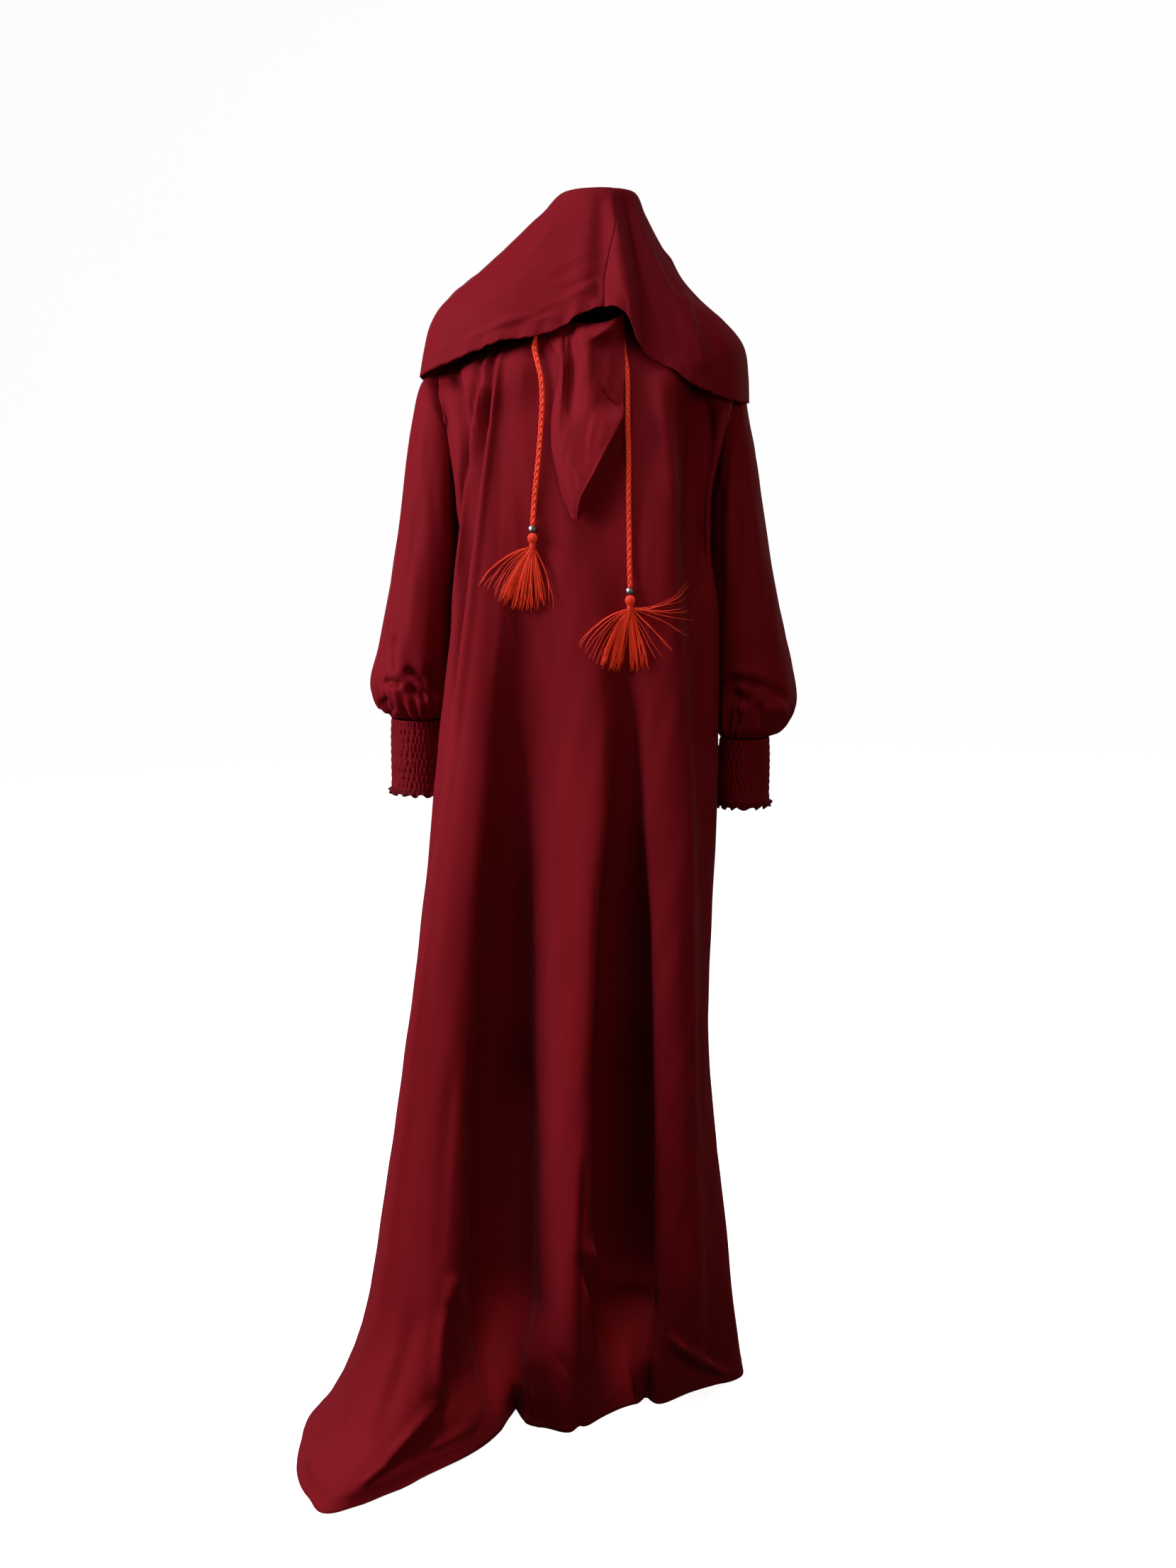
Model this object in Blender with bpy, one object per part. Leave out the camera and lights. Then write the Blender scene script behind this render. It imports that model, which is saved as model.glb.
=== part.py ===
"""Hooded prayer dress in its worn, hollow form, with a hem that trails on the floor.

Metres, +Z up. The origin is the middle of the base of the neck, on the line of the shoulders.
The front faces -Y, and +X is the wearer's left. Every cloth piece is a closed wall of even
thickness between an outer sheet and the same sheet moved in along its normals.
"""

import math
from collections import namedtuple

import bmesh
import bpy
import numpy as np

# Driving sizes
FLOOR = -1.42
WALL = 0.0015
SEAM = 0.0003
HALF_SEAM = SEAM / 2
STEP = 1e-4

# The shoulder seam falls from the neck point to the shoulder tip
NECK_POINT = (0.075, 0.000, 0.008)
SHOULDER_TIP = (0.195, 0.005, -0.050)

# Heights of the sections that the folds are given at
YOKE, UNDERARM, HIP, KNEE, LOW = -0.110, -0.205, -0.550, -0.950, -1.220
CHEST_DEPTH = 0.048
DEPTHS = (0.0, CHEST_DEPTH, -YOKE, -UNDERARM, -HIP, -KNEE, -LOW)
ARM_DEPTH = DEPTHS[3]
ARM_ROWS = 10
BODY_ROWS = 9
HEM_ROWS = 5
RUN_OUT = 0.06
HEM_PULL, HEM_SOFTNESS = 0.42, 0.33
DEPTH_COLUMNS, DEPTH_ROWS = 241, 161

# The hood
CROWN = (0.014, 0.000, 0.181)
CROWN_RADIUS = 0.046
CROWN_DROP = 0.005
DOME_SHARE, DOME_RISE = 0.55, 0.3
HOOD_REST_ROW = 6
HOOD_LIFT = 0.004
HOOD_ROWS = (0.0, 0.1, 0.22, 0.36, 0.5, 0.64, 0.77, 0.9, 1.0)

# Drawstrings, beads and tassels
CORD_RADIUS = 0.0035
BEAD_RADIUS, BEAD_HALF_HEIGHT = 0.0055, 0.0042
BEAD_FLUTES, FLUTE_DEPTH, BEAD_SIDES = 10, 0.0005, 6
KNOB_RADIUS, KNOB_HALF_HEIGHT = 0.0062, 0.0070
NECK_DROP, NECK_LENGTH, NECK_TOP_RADIUS, NECK_LOW_RADIUS = 0.0050, 0.0085, 0.0030, 0.0051
STRAND_RADIUS, STRAND_LENGTH, STRAND_LAYERS = 0.0004, 0.074, 4
STRAND_SPACING, LAYER_SPACING, LAYER_SPREAD, STRAND_LIFT = 0.00085, 0.0011, 0.0022, 0.0045
ROOT_DEPTH, BEND_DROP, BEND_STEP, DROOP = 0.0020, 0.0015, 0.0011, 0.05

# Each finish: its colour, roughness and metallic value
Finish = namedtuple("Finish", "colour roughness metallic")
CREPE = Finish((0.19, 0.012, 0.026), 0.75, 0.0)
BRAID = Finish((0.72, 0.045, 0.012), 0.6, 0.0)
METAL = Finish((0.62, 0.63, 0.66), 0.3, 1.0)

# A fold's line from top to hem: its top and chest are points, the rest x and y at the named heights
Fold = namedtuple("Fold", "name top chest yoke underarm hip knee low hem")
# A sleeve's section: its outer and inner points in the view from the front, and how far it reaches
# to the front and the back
Ring = namedtuple("Ring", "outer_x outer_z inner_x inner_z front back")
# A point of the hood's edge and how far the cloth stands off the straight line up to the crown
Edge = namedtuple("Edge", "x y z upper lower")
# A section of the chin piece: its heights at both ends and the middle, then the x of each fold and
# how far it stands off the front panel
Drape = namedtuple("Drape", "z left crest crease face hollow right")
# A tassel: the middle of its knob and the angle of each column of strands from straight down, in
# degrees, towards +X; its front layer has angles of its own
Tassel = namedtuple("Tassel", "knob angles front_angles")


def on_shoulder(x):
    """The point of the shoulder seam at this x."""
    share = (abs(x) - NECK_POINT[0]) / (SHOULDER_TIP[0] - NECK_POINT[0])
    return (x, *(a + share * (b - a) for a, b in zip(NECK_POINT[1:], SHOULDER_TIP[1:])))


FRONT = (
    Fold("side_right", on_shoulder(-0.195), (-0.190, -0.022, -0.075), (-0.180, -0.042), (-0.160, 0.005),
         (-0.172, 0.010), (-0.226, 0.005), (-0.268, -0.015), (-0.350, -0.060)),
    Fold("edge_right", on_shoulder(-0.168), (-0.172, -0.040, -0.062), (-0.172, -0.062), (-0.166, -0.072),
         (-0.195, -0.088), (-0.243, -0.100), (-0.284, -0.130), (-0.374, -0.185)),
    Fold("crease_right", on_shoulder(-0.148), (-0.152, -0.064, -0.050), (-0.156, -0.084), (-0.150, -0.090),
         (-0.184, -0.118), (-0.239, -0.145), (-0.280, -0.185), (-0.368, -0.280)),
    Fold("ridge_right", on_shoulder(-0.122), (-0.126, -0.086, -0.044), (-0.130, -0.108), (-0.135, -0.130),
         (-0.172, -0.152), (-0.231, -0.180), (-0.264, -0.228), (-0.345, -0.345)),
    Fold("turn_right", on_shoulder(-0.096), (-0.099, -0.093, -0.039), (-0.104, -0.116), (-0.106, -0.139),
         (-0.127, -0.164), (-0.158, -0.190), (-0.174, -0.240), (-0.290, -0.374)),
    Fold("fall_right", on_shoulder(-0.078), (-0.081, -0.095, -0.035), (-0.085, -0.119), (-0.090, -0.142),
         (-0.112, -0.148), (-0.139, -0.160), (-0.152, -0.190), (-0.205, -0.300)),
    Fold("valley_right", (-0.060, -0.060, 0.004), (-0.062, -0.098, -0.040), (-0.064, -0.121), (-0.072, -0.143),
         (-0.095, -0.136), (-0.112, -0.130), (-0.118, -0.142), (-0.120, -0.190)),
    Fold("ridge_middle", (-0.020, -0.090, -0.002), (-0.021, -0.111, -0.045), (-0.022, -0.124), (-0.010, -0.149),
         (0.022, -0.174), (0.004, -0.195), (-0.008, -0.210), (-0.014, -0.172)),
    Fold("valley_middle", (0.030, -0.090, -0.002), (0.030, -0.110, -0.045), (0.030, -0.123), (0.038, -0.146),
         (0.052, -0.138), (0.044, -0.108), (0.044, -0.094), (0.060, -0.088)),
    Fold("rise_left", (0.069, -0.046, 0.006), (0.073, -0.096, -0.038), (0.078, -0.120), (0.078, -0.145),
         (0.082, -0.152), (0.082, -0.145), (0.088, -0.130), (0.100, -0.095)),
    Fold("ridge_left", on_shoulder(0.100), (0.105, -0.088, -0.040), (0.112, -0.108), (0.113, -0.134),
         (0.127, -0.146), (0.136, -0.142), (0.144, -0.122), (0.148, -0.060)),
    Fold("edge_left", on_shoulder(0.150), (0.153, -0.054, -0.053), (0.155, -0.075), (0.142, -0.080),
         (0.152, -0.080), (0.156, -0.072), (0.183, -0.062), (0.198, -0.034)),
    Fold("side_left", on_shoulder(0.195), (0.190, -0.022, -0.075), (0.178, -0.042), (0.150, 0.005),
         (0.160, 0.010), (0.158, 0.012), (0.187, 0.014), (0.218, 0.012)),
)
FRONT_STEPS = (2, 2, 2, 3, 2, 2, 3, 3, 3, 2, 2, 2)

BACK = (
    Fold("side_left", on_shoulder(0.195), (0.190, 0.030, -0.075), (0.178, 0.052), (0.150, 0.005),
         (0.160, 0.010), (0.158, 0.012), (0.187, 0.014), (0.218, 0.012)),
    Fold("ridge_left", on_shoulder(0.160), (0.156, 0.052, -0.057), (0.150, 0.082), (0.128, 0.080),
         (0.138, 0.092), (0.142, 0.105), (0.165, 0.130), (0.190, 0.150)),
    Fold("valley_left", on_shoulder(0.115), (0.108, 0.064, -0.045), (0.098, 0.098), (0.085, 0.098),
         (0.088, 0.086), (0.090, 0.080), (0.100, 0.088), (0.112, 0.098)),
    Fold("ridge_inner_left", on_shoulder(0.078), (0.064, 0.066, -0.032), (0.050, 0.104), (0.040, 0.106),
         (0.040, 0.122), (0.042, 0.142), (0.048, 0.168), (0.055, 0.195)),
    Fold("valley_middle", (0.000, 0.052, 0.018), (0.000, 0.088, -0.040), (0.000, 0.106), (-0.008, 0.104),
         (-0.012, 0.094), (-0.018, 0.095), (-0.022, 0.105), (-0.028, 0.118)),
    Fold("ridge_inner_right", on_shoulder(-0.078), (-0.064, 0.066, -0.032), (-0.050, 0.104), (-0.060, 0.104),
         (-0.066, 0.124), (-0.080, 0.148), (-0.098, 0.178), (-0.118, 0.210)),
    Fold("valley_right", on_shoulder(-0.115), (-0.108, 0.064, -0.045), (-0.098, 0.098), (-0.100, 0.095),
         (-0.112, 0.084), (-0.132, 0.082), (-0.155, 0.092), (-0.185, 0.108)),
    Fold("ridge_right", on_shoulder(-0.160), (-0.156, 0.052, -0.057), (-0.150, 0.082), (-0.138, 0.072),
         (-0.160, 0.080), (-0.195, 0.092), (-0.232, 0.105), (-0.290, 0.110)),
    Fold("side_right", on_shoulder(-0.195), (-0.190, 0.030, -0.075), (-0.180, 0.052), (-0.160, 0.005),
         (-0.172, 0.010), (-0.226, 0.005), (-0.268, -0.015), (-0.350, -0.060)),
)
BACK_STEPS = (2, 2, 3, 3, 3, 3, 2, 2)
HOOD_REST_COLUMNS = (3, 17)

SLEEVE_RIGHT = (
    Ring(-0.195, -0.050, -0.160, -0.205, -0.047, 0.057),
    Ring(-0.216, -0.062, -0.164, -0.213, -0.052, 0.061),
    Ring(-0.228, -0.108, -0.167, -0.226, -0.055, 0.064),
    Ring(-0.237, -0.160, -0.169, -0.245, -0.056, 0.066),
    Ring(-0.247, -0.243, -0.171, -0.282, -0.055, 0.066),
    Ring(-0.263, -0.335, -0.174, -0.345, -0.054, 0.066),
    Ring(-0.276, -0.400, -0.178, -0.400, -0.055, 0.066),
    Ring(-0.287, -0.443, -0.181, -0.447, -0.055, 0.064),
    Ring(-0.284, -0.468, -0.183, -0.474, -0.052, 0.058),
    Ring(-0.274, -0.486, -0.187, -0.489, -0.044, 0.048),
    Ring(-0.261, -0.495, -0.192, -0.496, -0.035, 0.038),
)
CUFF_RIGHT = (
    Ring(-0.261, -0.497, -0.192, -0.498, -0.035, 0.038),
    Ring(-0.262, -0.520, -0.190, -0.520, -0.036, 0.038),
    Ring(-0.262, -0.560, -0.189, -0.562, -0.036, 0.038),
    Ring(-0.262, -0.585, -0.190, -0.587, -0.037, 0.039),
    Ring(-0.265, -0.596, -0.188, -0.598, -0.040, 0.042),
)
SLEEVE_LEFT = (
    Ring(0.195, -0.050, 0.150, -0.205, -0.047, 0.057),
    Ring(0.199, -0.073, 0.154, -0.213, -0.048, 0.058),
    Ring(0.204, -0.118, 0.156, -0.228, -0.050, 0.062),
    Ring(0.214, -0.169, 0.157, -0.250, -0.054, 0.065),
    Ring(0.232, -0.243, 0.158, -0.290, -0.055, 0.066),
    Ring(0.250, -0.335, 0.160, -0.355, -0.054, 0.066),
    Ring(0.262, -0.391, 0.163, -0.410, -0.055, 0.066),
    Ring(0.275, -0.457, 0.166, -0.462, -0.055, 0.064),
    Ring(0.272, -0.487, 0.168, -0.494, -0.052, 0.058),
    Ring(0.256, -0.510, 0.171, -0.513, -0.044, 0.048),
    Ring(0.241, -0.520, 0.176, -0.521, -0.035, 0.038),
)
CUFF_LEFT = (
    Ring(0.241, -0.522, 0.176, -0.523, -0.035, 0.038),
    Ring(0.242, -0.545, 0.173, -0.546, -0.036, 0.038),
    Ring(0.242, -0.578, 0.172, -0.580, -0.036, 0.038),
    Ring(0.242, -0.602, 0.173, -0.604, -0.037, 0.039),
    Ring(0.245, -0.613, 0.171, -0.615, -0.040, 0.042),
)
SLEEVE_ROWS = (0, 0.5, 1, 2, 3, 4, 5, 6, 7, 8, 9, 10)
GATHERS = 10
GATHER_DEPTH = 0.0035
GATHER_START = 6.0
LAST_GATHER = 0.35
SLEEVE_EASE = 2.0
SMOCK_ROWS = 9
SMOCK_DEPTH = 0.0014

# From the centre front round the wearer's right side, to where the hood rests on the back
EDGE_RIGHT = (
    Edge(0.020, -0.110, 0.027, 0.000, 0.000),
    Edge(-0.006, -0.110, 0.020, 0.004, 0.004),
    Edge(-0.036, -0.105, 0.001, 0.006, 0.006),
    Edge(-0.070, -0.100, -0.009, 0.008, 0.009),
    Edge(-0.105, -0.091, -0.012, 0.010, 0.014),
    Edge(-0.138, -0.076, -0.023, 0.012, 0.020),
    Edge(-0.170, -0.056, -0.035, 0.014, 0.025),
    Edge(-0.198, -0.036, -0.045, 0.016, 0.029),
    Edge(-0.215, -0.010, -0.052, 0.017, 0.030),
    Edge(-0.218, 0.022, -0.054, 0.017, 0.029),
    Edge(-0.206, 0.052, -0.064, 0.017, 0.027),
    Edge(-0.180, 0.080, -0.088, 0.018, 0.026),
)
# From the centre front round the wearer's left side
EDGE_LEFT = (
    Edge(0.044, -0.110, 0.022, 0.003, 0.003),
    Edge(0.056, -0.105, -0.010, 0.000, 0.001),
    Edge(0.074, -0.102, -0.034, -0.008, -0.004),
    Edge(0.102, -0.106, -0.046, -0.004, 0.004),
    Edge(0.130, -0.099, -0.065, 0.006, 0.015),
    Edge(0.158, -0.082, -0.078, 0.000, 0.020),
    Edge(0.186, -0.060, -0.086, -0.004, 0.024),
    Edge(0.204, -0.030, -0.088, -0.006, 0.027),
    Edge(0.209, 0.010, -0.085, -0.004, 0.027),
    Edge(0.204, 0.048, -0.084, 0.004, 0.026),
    Edge(0.180, 0.078, -0.096, 0.012, 0.024),
)
REST_STAND_OFF = (0.020, 0.018)

CHIN = (
    Drape((-0.008, 0.008, 0.017), (-0.052, 0.004), (-0.034, 0.014), (-0.021, 0.010),
          (-0.012, 0.020), (0.018, 0.030), (0.047, 0.022)),
    Drape((-0.026, -0.008, 0.004), (-0.043, 0.004), (-0.031, 0.018), (-0.021, 0.011),
          (-0.011, 0.026), (0.018, 0.036), (0.048, 0.024)),
    Drape((-0.052, -0.044, -0.036), (-0.038, 0.004), (-0.030, 0.020), (-0.021, 0.010),
          (-0.010, 0.026), (0.018, 0.014), (0.046, 0.013)),
    Drape((-0.086, -0.085, -0.080), (-0.040, 0.003), (-0.031, 0.018), (-0.020, 0.014),
          (-0.006, 0.030), (0.022, 0.022), (0.042, 0.007)),
    Drape((-0.125, -0.126, -0.118), (-0.047, 0.0023), (-0.035, 0.015), (-0.018, 0.020),
          (0.002, 0.028), (0.034, 0.028), (0.0425, 0.005)),
    Drape((-0.152, -0.155, -0.150), (-0.045, 0.0021), (-0.033, 0.012), (-0.017, 0.020),
          (0.002, 0.028), (0.022, 0.028), (0.0425, 0.005)),
    Drape((-0.186, -0.194, -0.190), (-0.037, 0.0023), (-0.029, 0.010), (-0.017, 0.016),
          (-0.004, 0.020), (0.006, 0.022), (0.040, 0.004)),
    Drape((-0.214, -0.220, -0.212), (-0.028, 0.003), (-0.022, 0.007), (-0.014, 0.010),
          (-0.008, 0.012), (-0.003, 0.013), (0.022, 0.004)),
    Drape((-0.231, -0.236, -0.231), (-0.018, 0.0025), (-0.015, 0.004), (-0.012, 0.005),
          (-0.010, 0.005), (-0.007, 0.005), (0.000, 0.003)),
)
CHIN_ROWS = (0, 0.5, 1, 1.5, 2, 2.5, 3, 3.5, 4, 4.5, 5, 5.5, 6, 7, 8)
CHIN_COLUMNS = (0, 0.5, 1, 1.5, 2, 2.5, 3, 3.5, 4, 4.5, 5)

# The drawstrings' routes, from the neckline to the knob, chosen by hand
CORD_RIGHT = (
    (-0.060, -0.0760, -0.006), (-0.061, -0.0905, -0.022), (-0.056, -0.1045, -0.040),
    (-0.053, -0.1140, -0.060), (-0.055, -0.1205, -0.084), (-0.058, -0.1290, -0.118),
    (-0.060, -0.1380, -0.152), (-0.064, -0.1458, -0.187), (-0.067, -0.1507, -0.221),
    (-0.0681, -0.1545, -0.2375), (-0.0682, -0.1545, -0.2480),
)
CORD_LEFT = (
    (0.056, -0.0815, -0.010), (0.056, -0.0985, -0.028), (0.053, -0.1110, -0.046),
    (0.050, -0.1180, -0.064), (0.049, -0.1238, -0.088), (0.049, -0.1305, -0.118),
    (0.050, -0.1392, -0.152), (0.050, -0.1512, -0.204), (0.051, -0.1555, -0.255),
    (0.0515, -0.1595, -0.298), (0.0518, -0.1610, -0.3130), (0.0518, -0.1610, -0.3238),
)
CORD_STEPS = 26
BEAD_RIGHT = (-0.0682, -0.1545, -0.2437)
BEAD_LEFT = (0.0518, -0.1610, -0.3195)
TASSEL_RIGHT = Tassel(
    (-0.0684, -0.156, -0.2553),
    (-46, -33, -23, -15, -9, -4, 1, 6, 12),
    (-56, -40, -28, -19, -12, -6, 0, 8, 19),
)
TASSEL_LEFT = Tassel(
    (0.0519, -0.162, -0.3311),
    (-48, -35, -24, -15, -8, -2, 6, 20, 36),
    (-57, -42, -29, -18, -8, 4, 44, 68, 90),
)


def curve_through(knots, values, places):
    """Reads, at places, the smooth curve through values at knots, slopes taken from neighbours."""
    knots = np.asarray(knots, float)
    values = np.asarray(values, float)
    places = np.asarray(places, float)
    across = (-1,) + (1,) * (values.ndim - 1)
    steps = np.diff(knots)
    wide = steps.reshape(across)
    rises = np.diff(values, axis=0) / wide
    slopes = np.empty_like(values)
    slopes[0], slopes[-1] = rises[0], rises[-1]
    slopes[1:-1] = (rises[:-1] * wide[1:] + rises[1:] * wide[:-1]) / (wide[1:] + wide[:-1])
    index = np.clip(np.searchsorted(knots, places, side="right") - 1, 0, len(steps) - 1)
    width = steps[index].reshape(across)
    t = ((places - knots[index]) / steps[index]).reshape(across)
    start, end = values[index], values[index + 1]
    lean_in, lean_out = slopes[index] * width, slopes[index + 1] * width
    return (
        start * (2 * t**3 - 3 * t**2 + 1)
        + lean_in * (t**3 - 2 * t**2 + t)
        + end * (3 * t**2 - 2 * t**3)
        + lean_out * (t**3 - t**2)
    )


def unit(vectors):
    lengths = np.linalg.norm(vectors, axis=-1, keepdims=True)
    return vectors / np.maximum(lengths, 1e-12)


def fold_points(fold):
    """A fold's line as points, top to hem."""
    heights = (YOKE, UNDERARM, HIP, KNEE, LOW)
    middle = [(*place, z) for place, z in zip(fold[3:8], heights)]
    return [fold.top, fold.chest, *middle, (*fold.hem, FLOOR)]


class Panel:
    """A body panel between two side seams, read at any place across it and down it."""

    def __init__(self, folds, before, after):
        self.armhole = np.array([fold_points(fold) for fold in (before, *folds, after)])
        # Below the armhole the two panels share their side seams, so each is led there down one line
        self.seamed = self.armhole.copy()
        self.seamed[(1, -2), 2] = self.armhole[(1, -2), 3] * (1, 1, 0) + (0, 0, YOKE)
        lengths = np.linalg.norm(np.diff(self.armhole[:, 3:7], axis=0), axis=2).mean(axis=1)
        self.knots = np.concatenate([[0.0], np.cumsum(lengths)]) - lengths[0]
        self.places = self.knots[1:-1]

    def across(self, table, u):
        """Each section's points at u; the top edge runs straight from fold to fold."""
        sections = curve_through(self.knots, table, u)
        for axis in range(3):
            sections[:, 0, axis] = np.interp(u, self.places, table[1:-1, 0, axis])
        return sections

    def sheet(self, u, v):
        """Points at u across and v down; past the low section, v runs on from 0 to 1 to the hem."""
        u = np.clip(u, self.places[0], self.places[-1])
        down = np.clip(v, 0, DEPTHS[-1])
        by_armhole = curve_through(DEPTHS, self.across(self.armhole, u)[:, :-1].swapaxes(0, 1), down)
        sections = self.across(self.seamed, u)
        hanging = curve_through(DEPTHS, sections[:, :-1].swapaxes(0, 1), down)
        hanging = np.where((v < ARM_DEPTH).reshape(-1, 1, 1), by_armhole, hanging)
        low, knee, hem = sections[:, -2], sections[:, -3], sections[:, -1].copy()
        drop = (low - hem)[:, 2:]
        slope = (low - knee) / (knee - low)[:, 2:]
        run = hem - low
        run[:, 2] = 0.0
        lies = np.clip(np.linalg.norm(run, axis=1, keepdims=True) / RUN_OUT - 1, 0, 1)
        hem[:, 2:] += WALL * lies
        first = low + slope * drop * HEM_PULL
        second = hem - run * HEM_PULL
        second[:, 2:] += drop * HEM_SOFTNESS * (1 - lies)
        t = np.clip(v - DEPTHS[-1], 0, 1).reshape(-1, 1, 1)
        bent = (
            low * (1 - t) ** 3
            + first * 3 * t * (1 - t) ** 2
            + second * 3 * t**2 * (1 - t)
            + hem * t**3
        )
        below = (v > DEPTHS[-1]).reshape(-1, 1, 1)
        return np.where(below, bent, hanging).swapaxes(0, 1)

    def normals(self, u, v):
        """Outward normals, which both panels share along their side seams."""
        over_u = self.sheet(u + STEP, v) - self.sheet(u - STEP, v)
        start = np.minimum(v, DEPTHS[-1] + 1 - STEP)
        over_v = self.sheet(u, start + STEP) - self.sheet(u, start)
        out = unit(np.cross(over_v, over_u))
        top = self.sheet(u, v[:1])[:, 0]
        out[np.abs(top[:, 0]) >= NECK_POINT[0], 0] = (0.0, 0.0, 1.0)
        return out


def panel_rows():
    """How far down each row lies: the armhole, the hanging cloth, then the stretch to the hem."""
    armhole = np.linspace(0, ARM_DEPTH, ARM_ROWS + 1)
    hanging = np.linspace(ARM_DEPTH, DEPTHS[-1], BODY_ROWS + 1)[1:]
    hem = DEPTHS[-1] + np.linspace(0, 1, HEM_ROWS + 1)[1:]
    return np.concatenate([armhole, hanging, hem])


def panel_columns(panel, steps):
    """Places across a panel: the given number of steps from each fold to the next."""
    places = [panel.places[0]]
    for start, end, count in zip(panel.places[:-1], panel.places[1:], steps):
        places.extend(start + (end - start) * k / count for k in range(1, count + 1))
    places = np.array(places)
    places[0] += HALF_SEAM
    places[-1] -= HALF_SEAM
    return places


def new_material(name, finish):
    material = bpy.data.materials.new(name)
    material.use_nodes = True
    shader = material.node_tree.nodes["Principled BSDF"]
    shader.inputs["Base Color"].default_value = (*finish.colour, 1.0)
    shader.inputs["Roughness"].default_value = finish.roughness
    shader.inputs["Metallic"].default_value = finish.metallic
    return material


def file_under(obj, collection, finish=None):
    """Moves an object to a collection and, where it is a part, gives it a material of its own."""
    for owner in list(obj.users_collection):
        owner.objects.unlink(obj)
    collection.objects.link(obj)
    if finish:
        obj.data.materials.append(new_material(obj.name, finish))


def sheet_faces(columns, rows, closed):
    """Triangles over a grid of columns and rows, as triples of (column, row)."""
    faces = []
    for i in range(columns if closed else columns - 1):
        k = (i + 1) % columns
        for j in range(rows - 1):
            faces.append(((i, j), (i, j + 1), (k, j + 1)))
            faces.append(((i, j), (k, j + 1), (k, j)))
    return faces


def rim_edges(columns, rows, closed):
    """The grid's border as directed pairs, against the way that the faces run."""
    pairs = []
    for i in range(columns if closed else columns - 1):
        k = (i + 1) % columns
        pairs.append(((i, 0), (k, 0)))
        pairs.append(((k, rows - 1), (i, rows - 1)))
    if not closed:
        last = columns - 1
        for j in range(rows - 1):
            pairs.append(((0, j + 1), (0, j)))
            pairs.append(((last, j), (last, j + 1)))
    return pairs


def wall(name, outer, inner, collection, closed=False):
    """A closed wall between two grids of points; points that coincide are made one."""
    columns, rows = outer.shape[:2]
    mesh = bpy.data.meshes.new(name)
    body = bmesh.new()
    made = {}

    def vertex(grid, place):
        key = tuple(round(float(value), 6) for value in grid[place])
        if key not in made:
            made[key] = body.verts.new(key)
        return made[key]

    def face(corners):
        kept = [v for n, v in enumerate(corners) if v not in corners[:n]]
        if len(kept) > 2:
            body.faces.new(kept)

    for triangle in sheet_faces(columns, rows, closed):
        face([vertex(outer, place) for place in triangle])
        face([vertex(inner, place) for place in reversed(triangle)])
    for start, end in rim_edges(columns, rows, closed):
        face([vertex(outer, start), vertex(outer, end), vertex(inner, end)])
        face([vertex(outer, start), vertex(inner, end), vertex(inner, start)])
    body.to_mesh(mesh)
    body.free()
    mesh.shade_smooth()
    file_under(bpy.data.objects.new(name, mesh), collection, CREPE)


def grid_normals(points, closed):
    """Outward normals of a grid whose columns run round and whose rows run down."""
    if closed:
        over_u = np.roll(points, -1, axis=0) - np.roll(points, 1, axis=0)
    else:
        over_u = np.gradient(points, axis=0)
    over_v = np.gradient(points, axis=1)
    return unit(np.cross(over_v, over_u))


def body_panels():
    front = Panel(FRONT, BACK[-2], BACK[1])
    back = Panel(BACK, FRONT[-2], FRONT[1])
    return front, back


def build_panels(collection):
    """Both panels, kept apart at the side seams and along the shoulders."""
    rows = panel_rows()
    grids = {}
    for name, panel, steps, way in (
        ("front_panel", PANELS[0], FRONT_STEPS, -1),
        ("back_panel", PANELS[1], BACK_STEPS, 1),
    ):
        places = panel_columns(panel, steps)
        outer = panel.sheet(places, rows)
        normals = panel.normals(places, rows)
        on_shoulder_seam = np.abs(outer[:, 0, 0]) >= NECK_POINT[0] - STEP
        outer[on_shoulder_seam, 0, 1] += way * HALF_SEAM
        inner = outer - normals * WALL
        inner[..., 2] = np.maximum(inner[..., 2], FLOOR)
        wall(name, outer, inner, collection)
        grids[name] = (outer, normals)
    return grids


def ring_table(rings, count, places):
    """Section points read from the table of rings, count of them round each, in the order of the armhole."""
    table = np.array(rings)
    sections = curve_through(np.arange(len(rings)), table, places)
    outer_x, outer_z, inner_x, inner_z, front, back = sections.T
    turn = 2 * math.pi * np.arange(count) / count
    along, aside = np.cos(turn)[:, None], np.sin(turn)[:, None]
    x = (outer_x + inner_x) / 2 + along * (outer_x - inner_x) / 2
    z = (outer_z + inner_z) / 2 + along * (outer_z - inner_z) / 2
    middle = (front + back) / 2
    y = middle - aside * (back - front) / 2
    return np.stack([x, y, z], axis=-1)


def armhole(grids, side):
    """The armhole's edge: down the front panel from the shoulder tip to the underarm and up the back."""
    front, back = grids["front_panel"][0], grids["back_panel"][0]
    front_edge = front[0 if side < 0 else -1, : ARM_ROWS + 1]
    back_edge = back[-1 if side < 0 else 0, : ARM_ROWS + 1]
    loop = np.concatenate([front_edge, back_edge[ARM_ROWS - 1 : 0 : -1]])
    loop[0, 1] += HALF_SEAM
    loop[ARM_ROWS, 1] = (front_edge[-1, 1] + back_edge[-1, 1]) / 2
    loop[:, 0] += side * SEAM
    return loop


def outward(points, side):
    """Normals of a tube that runs down; the wearer's left side turns the other way."""
    return grid_normals(points, True) * (-side)


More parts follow.
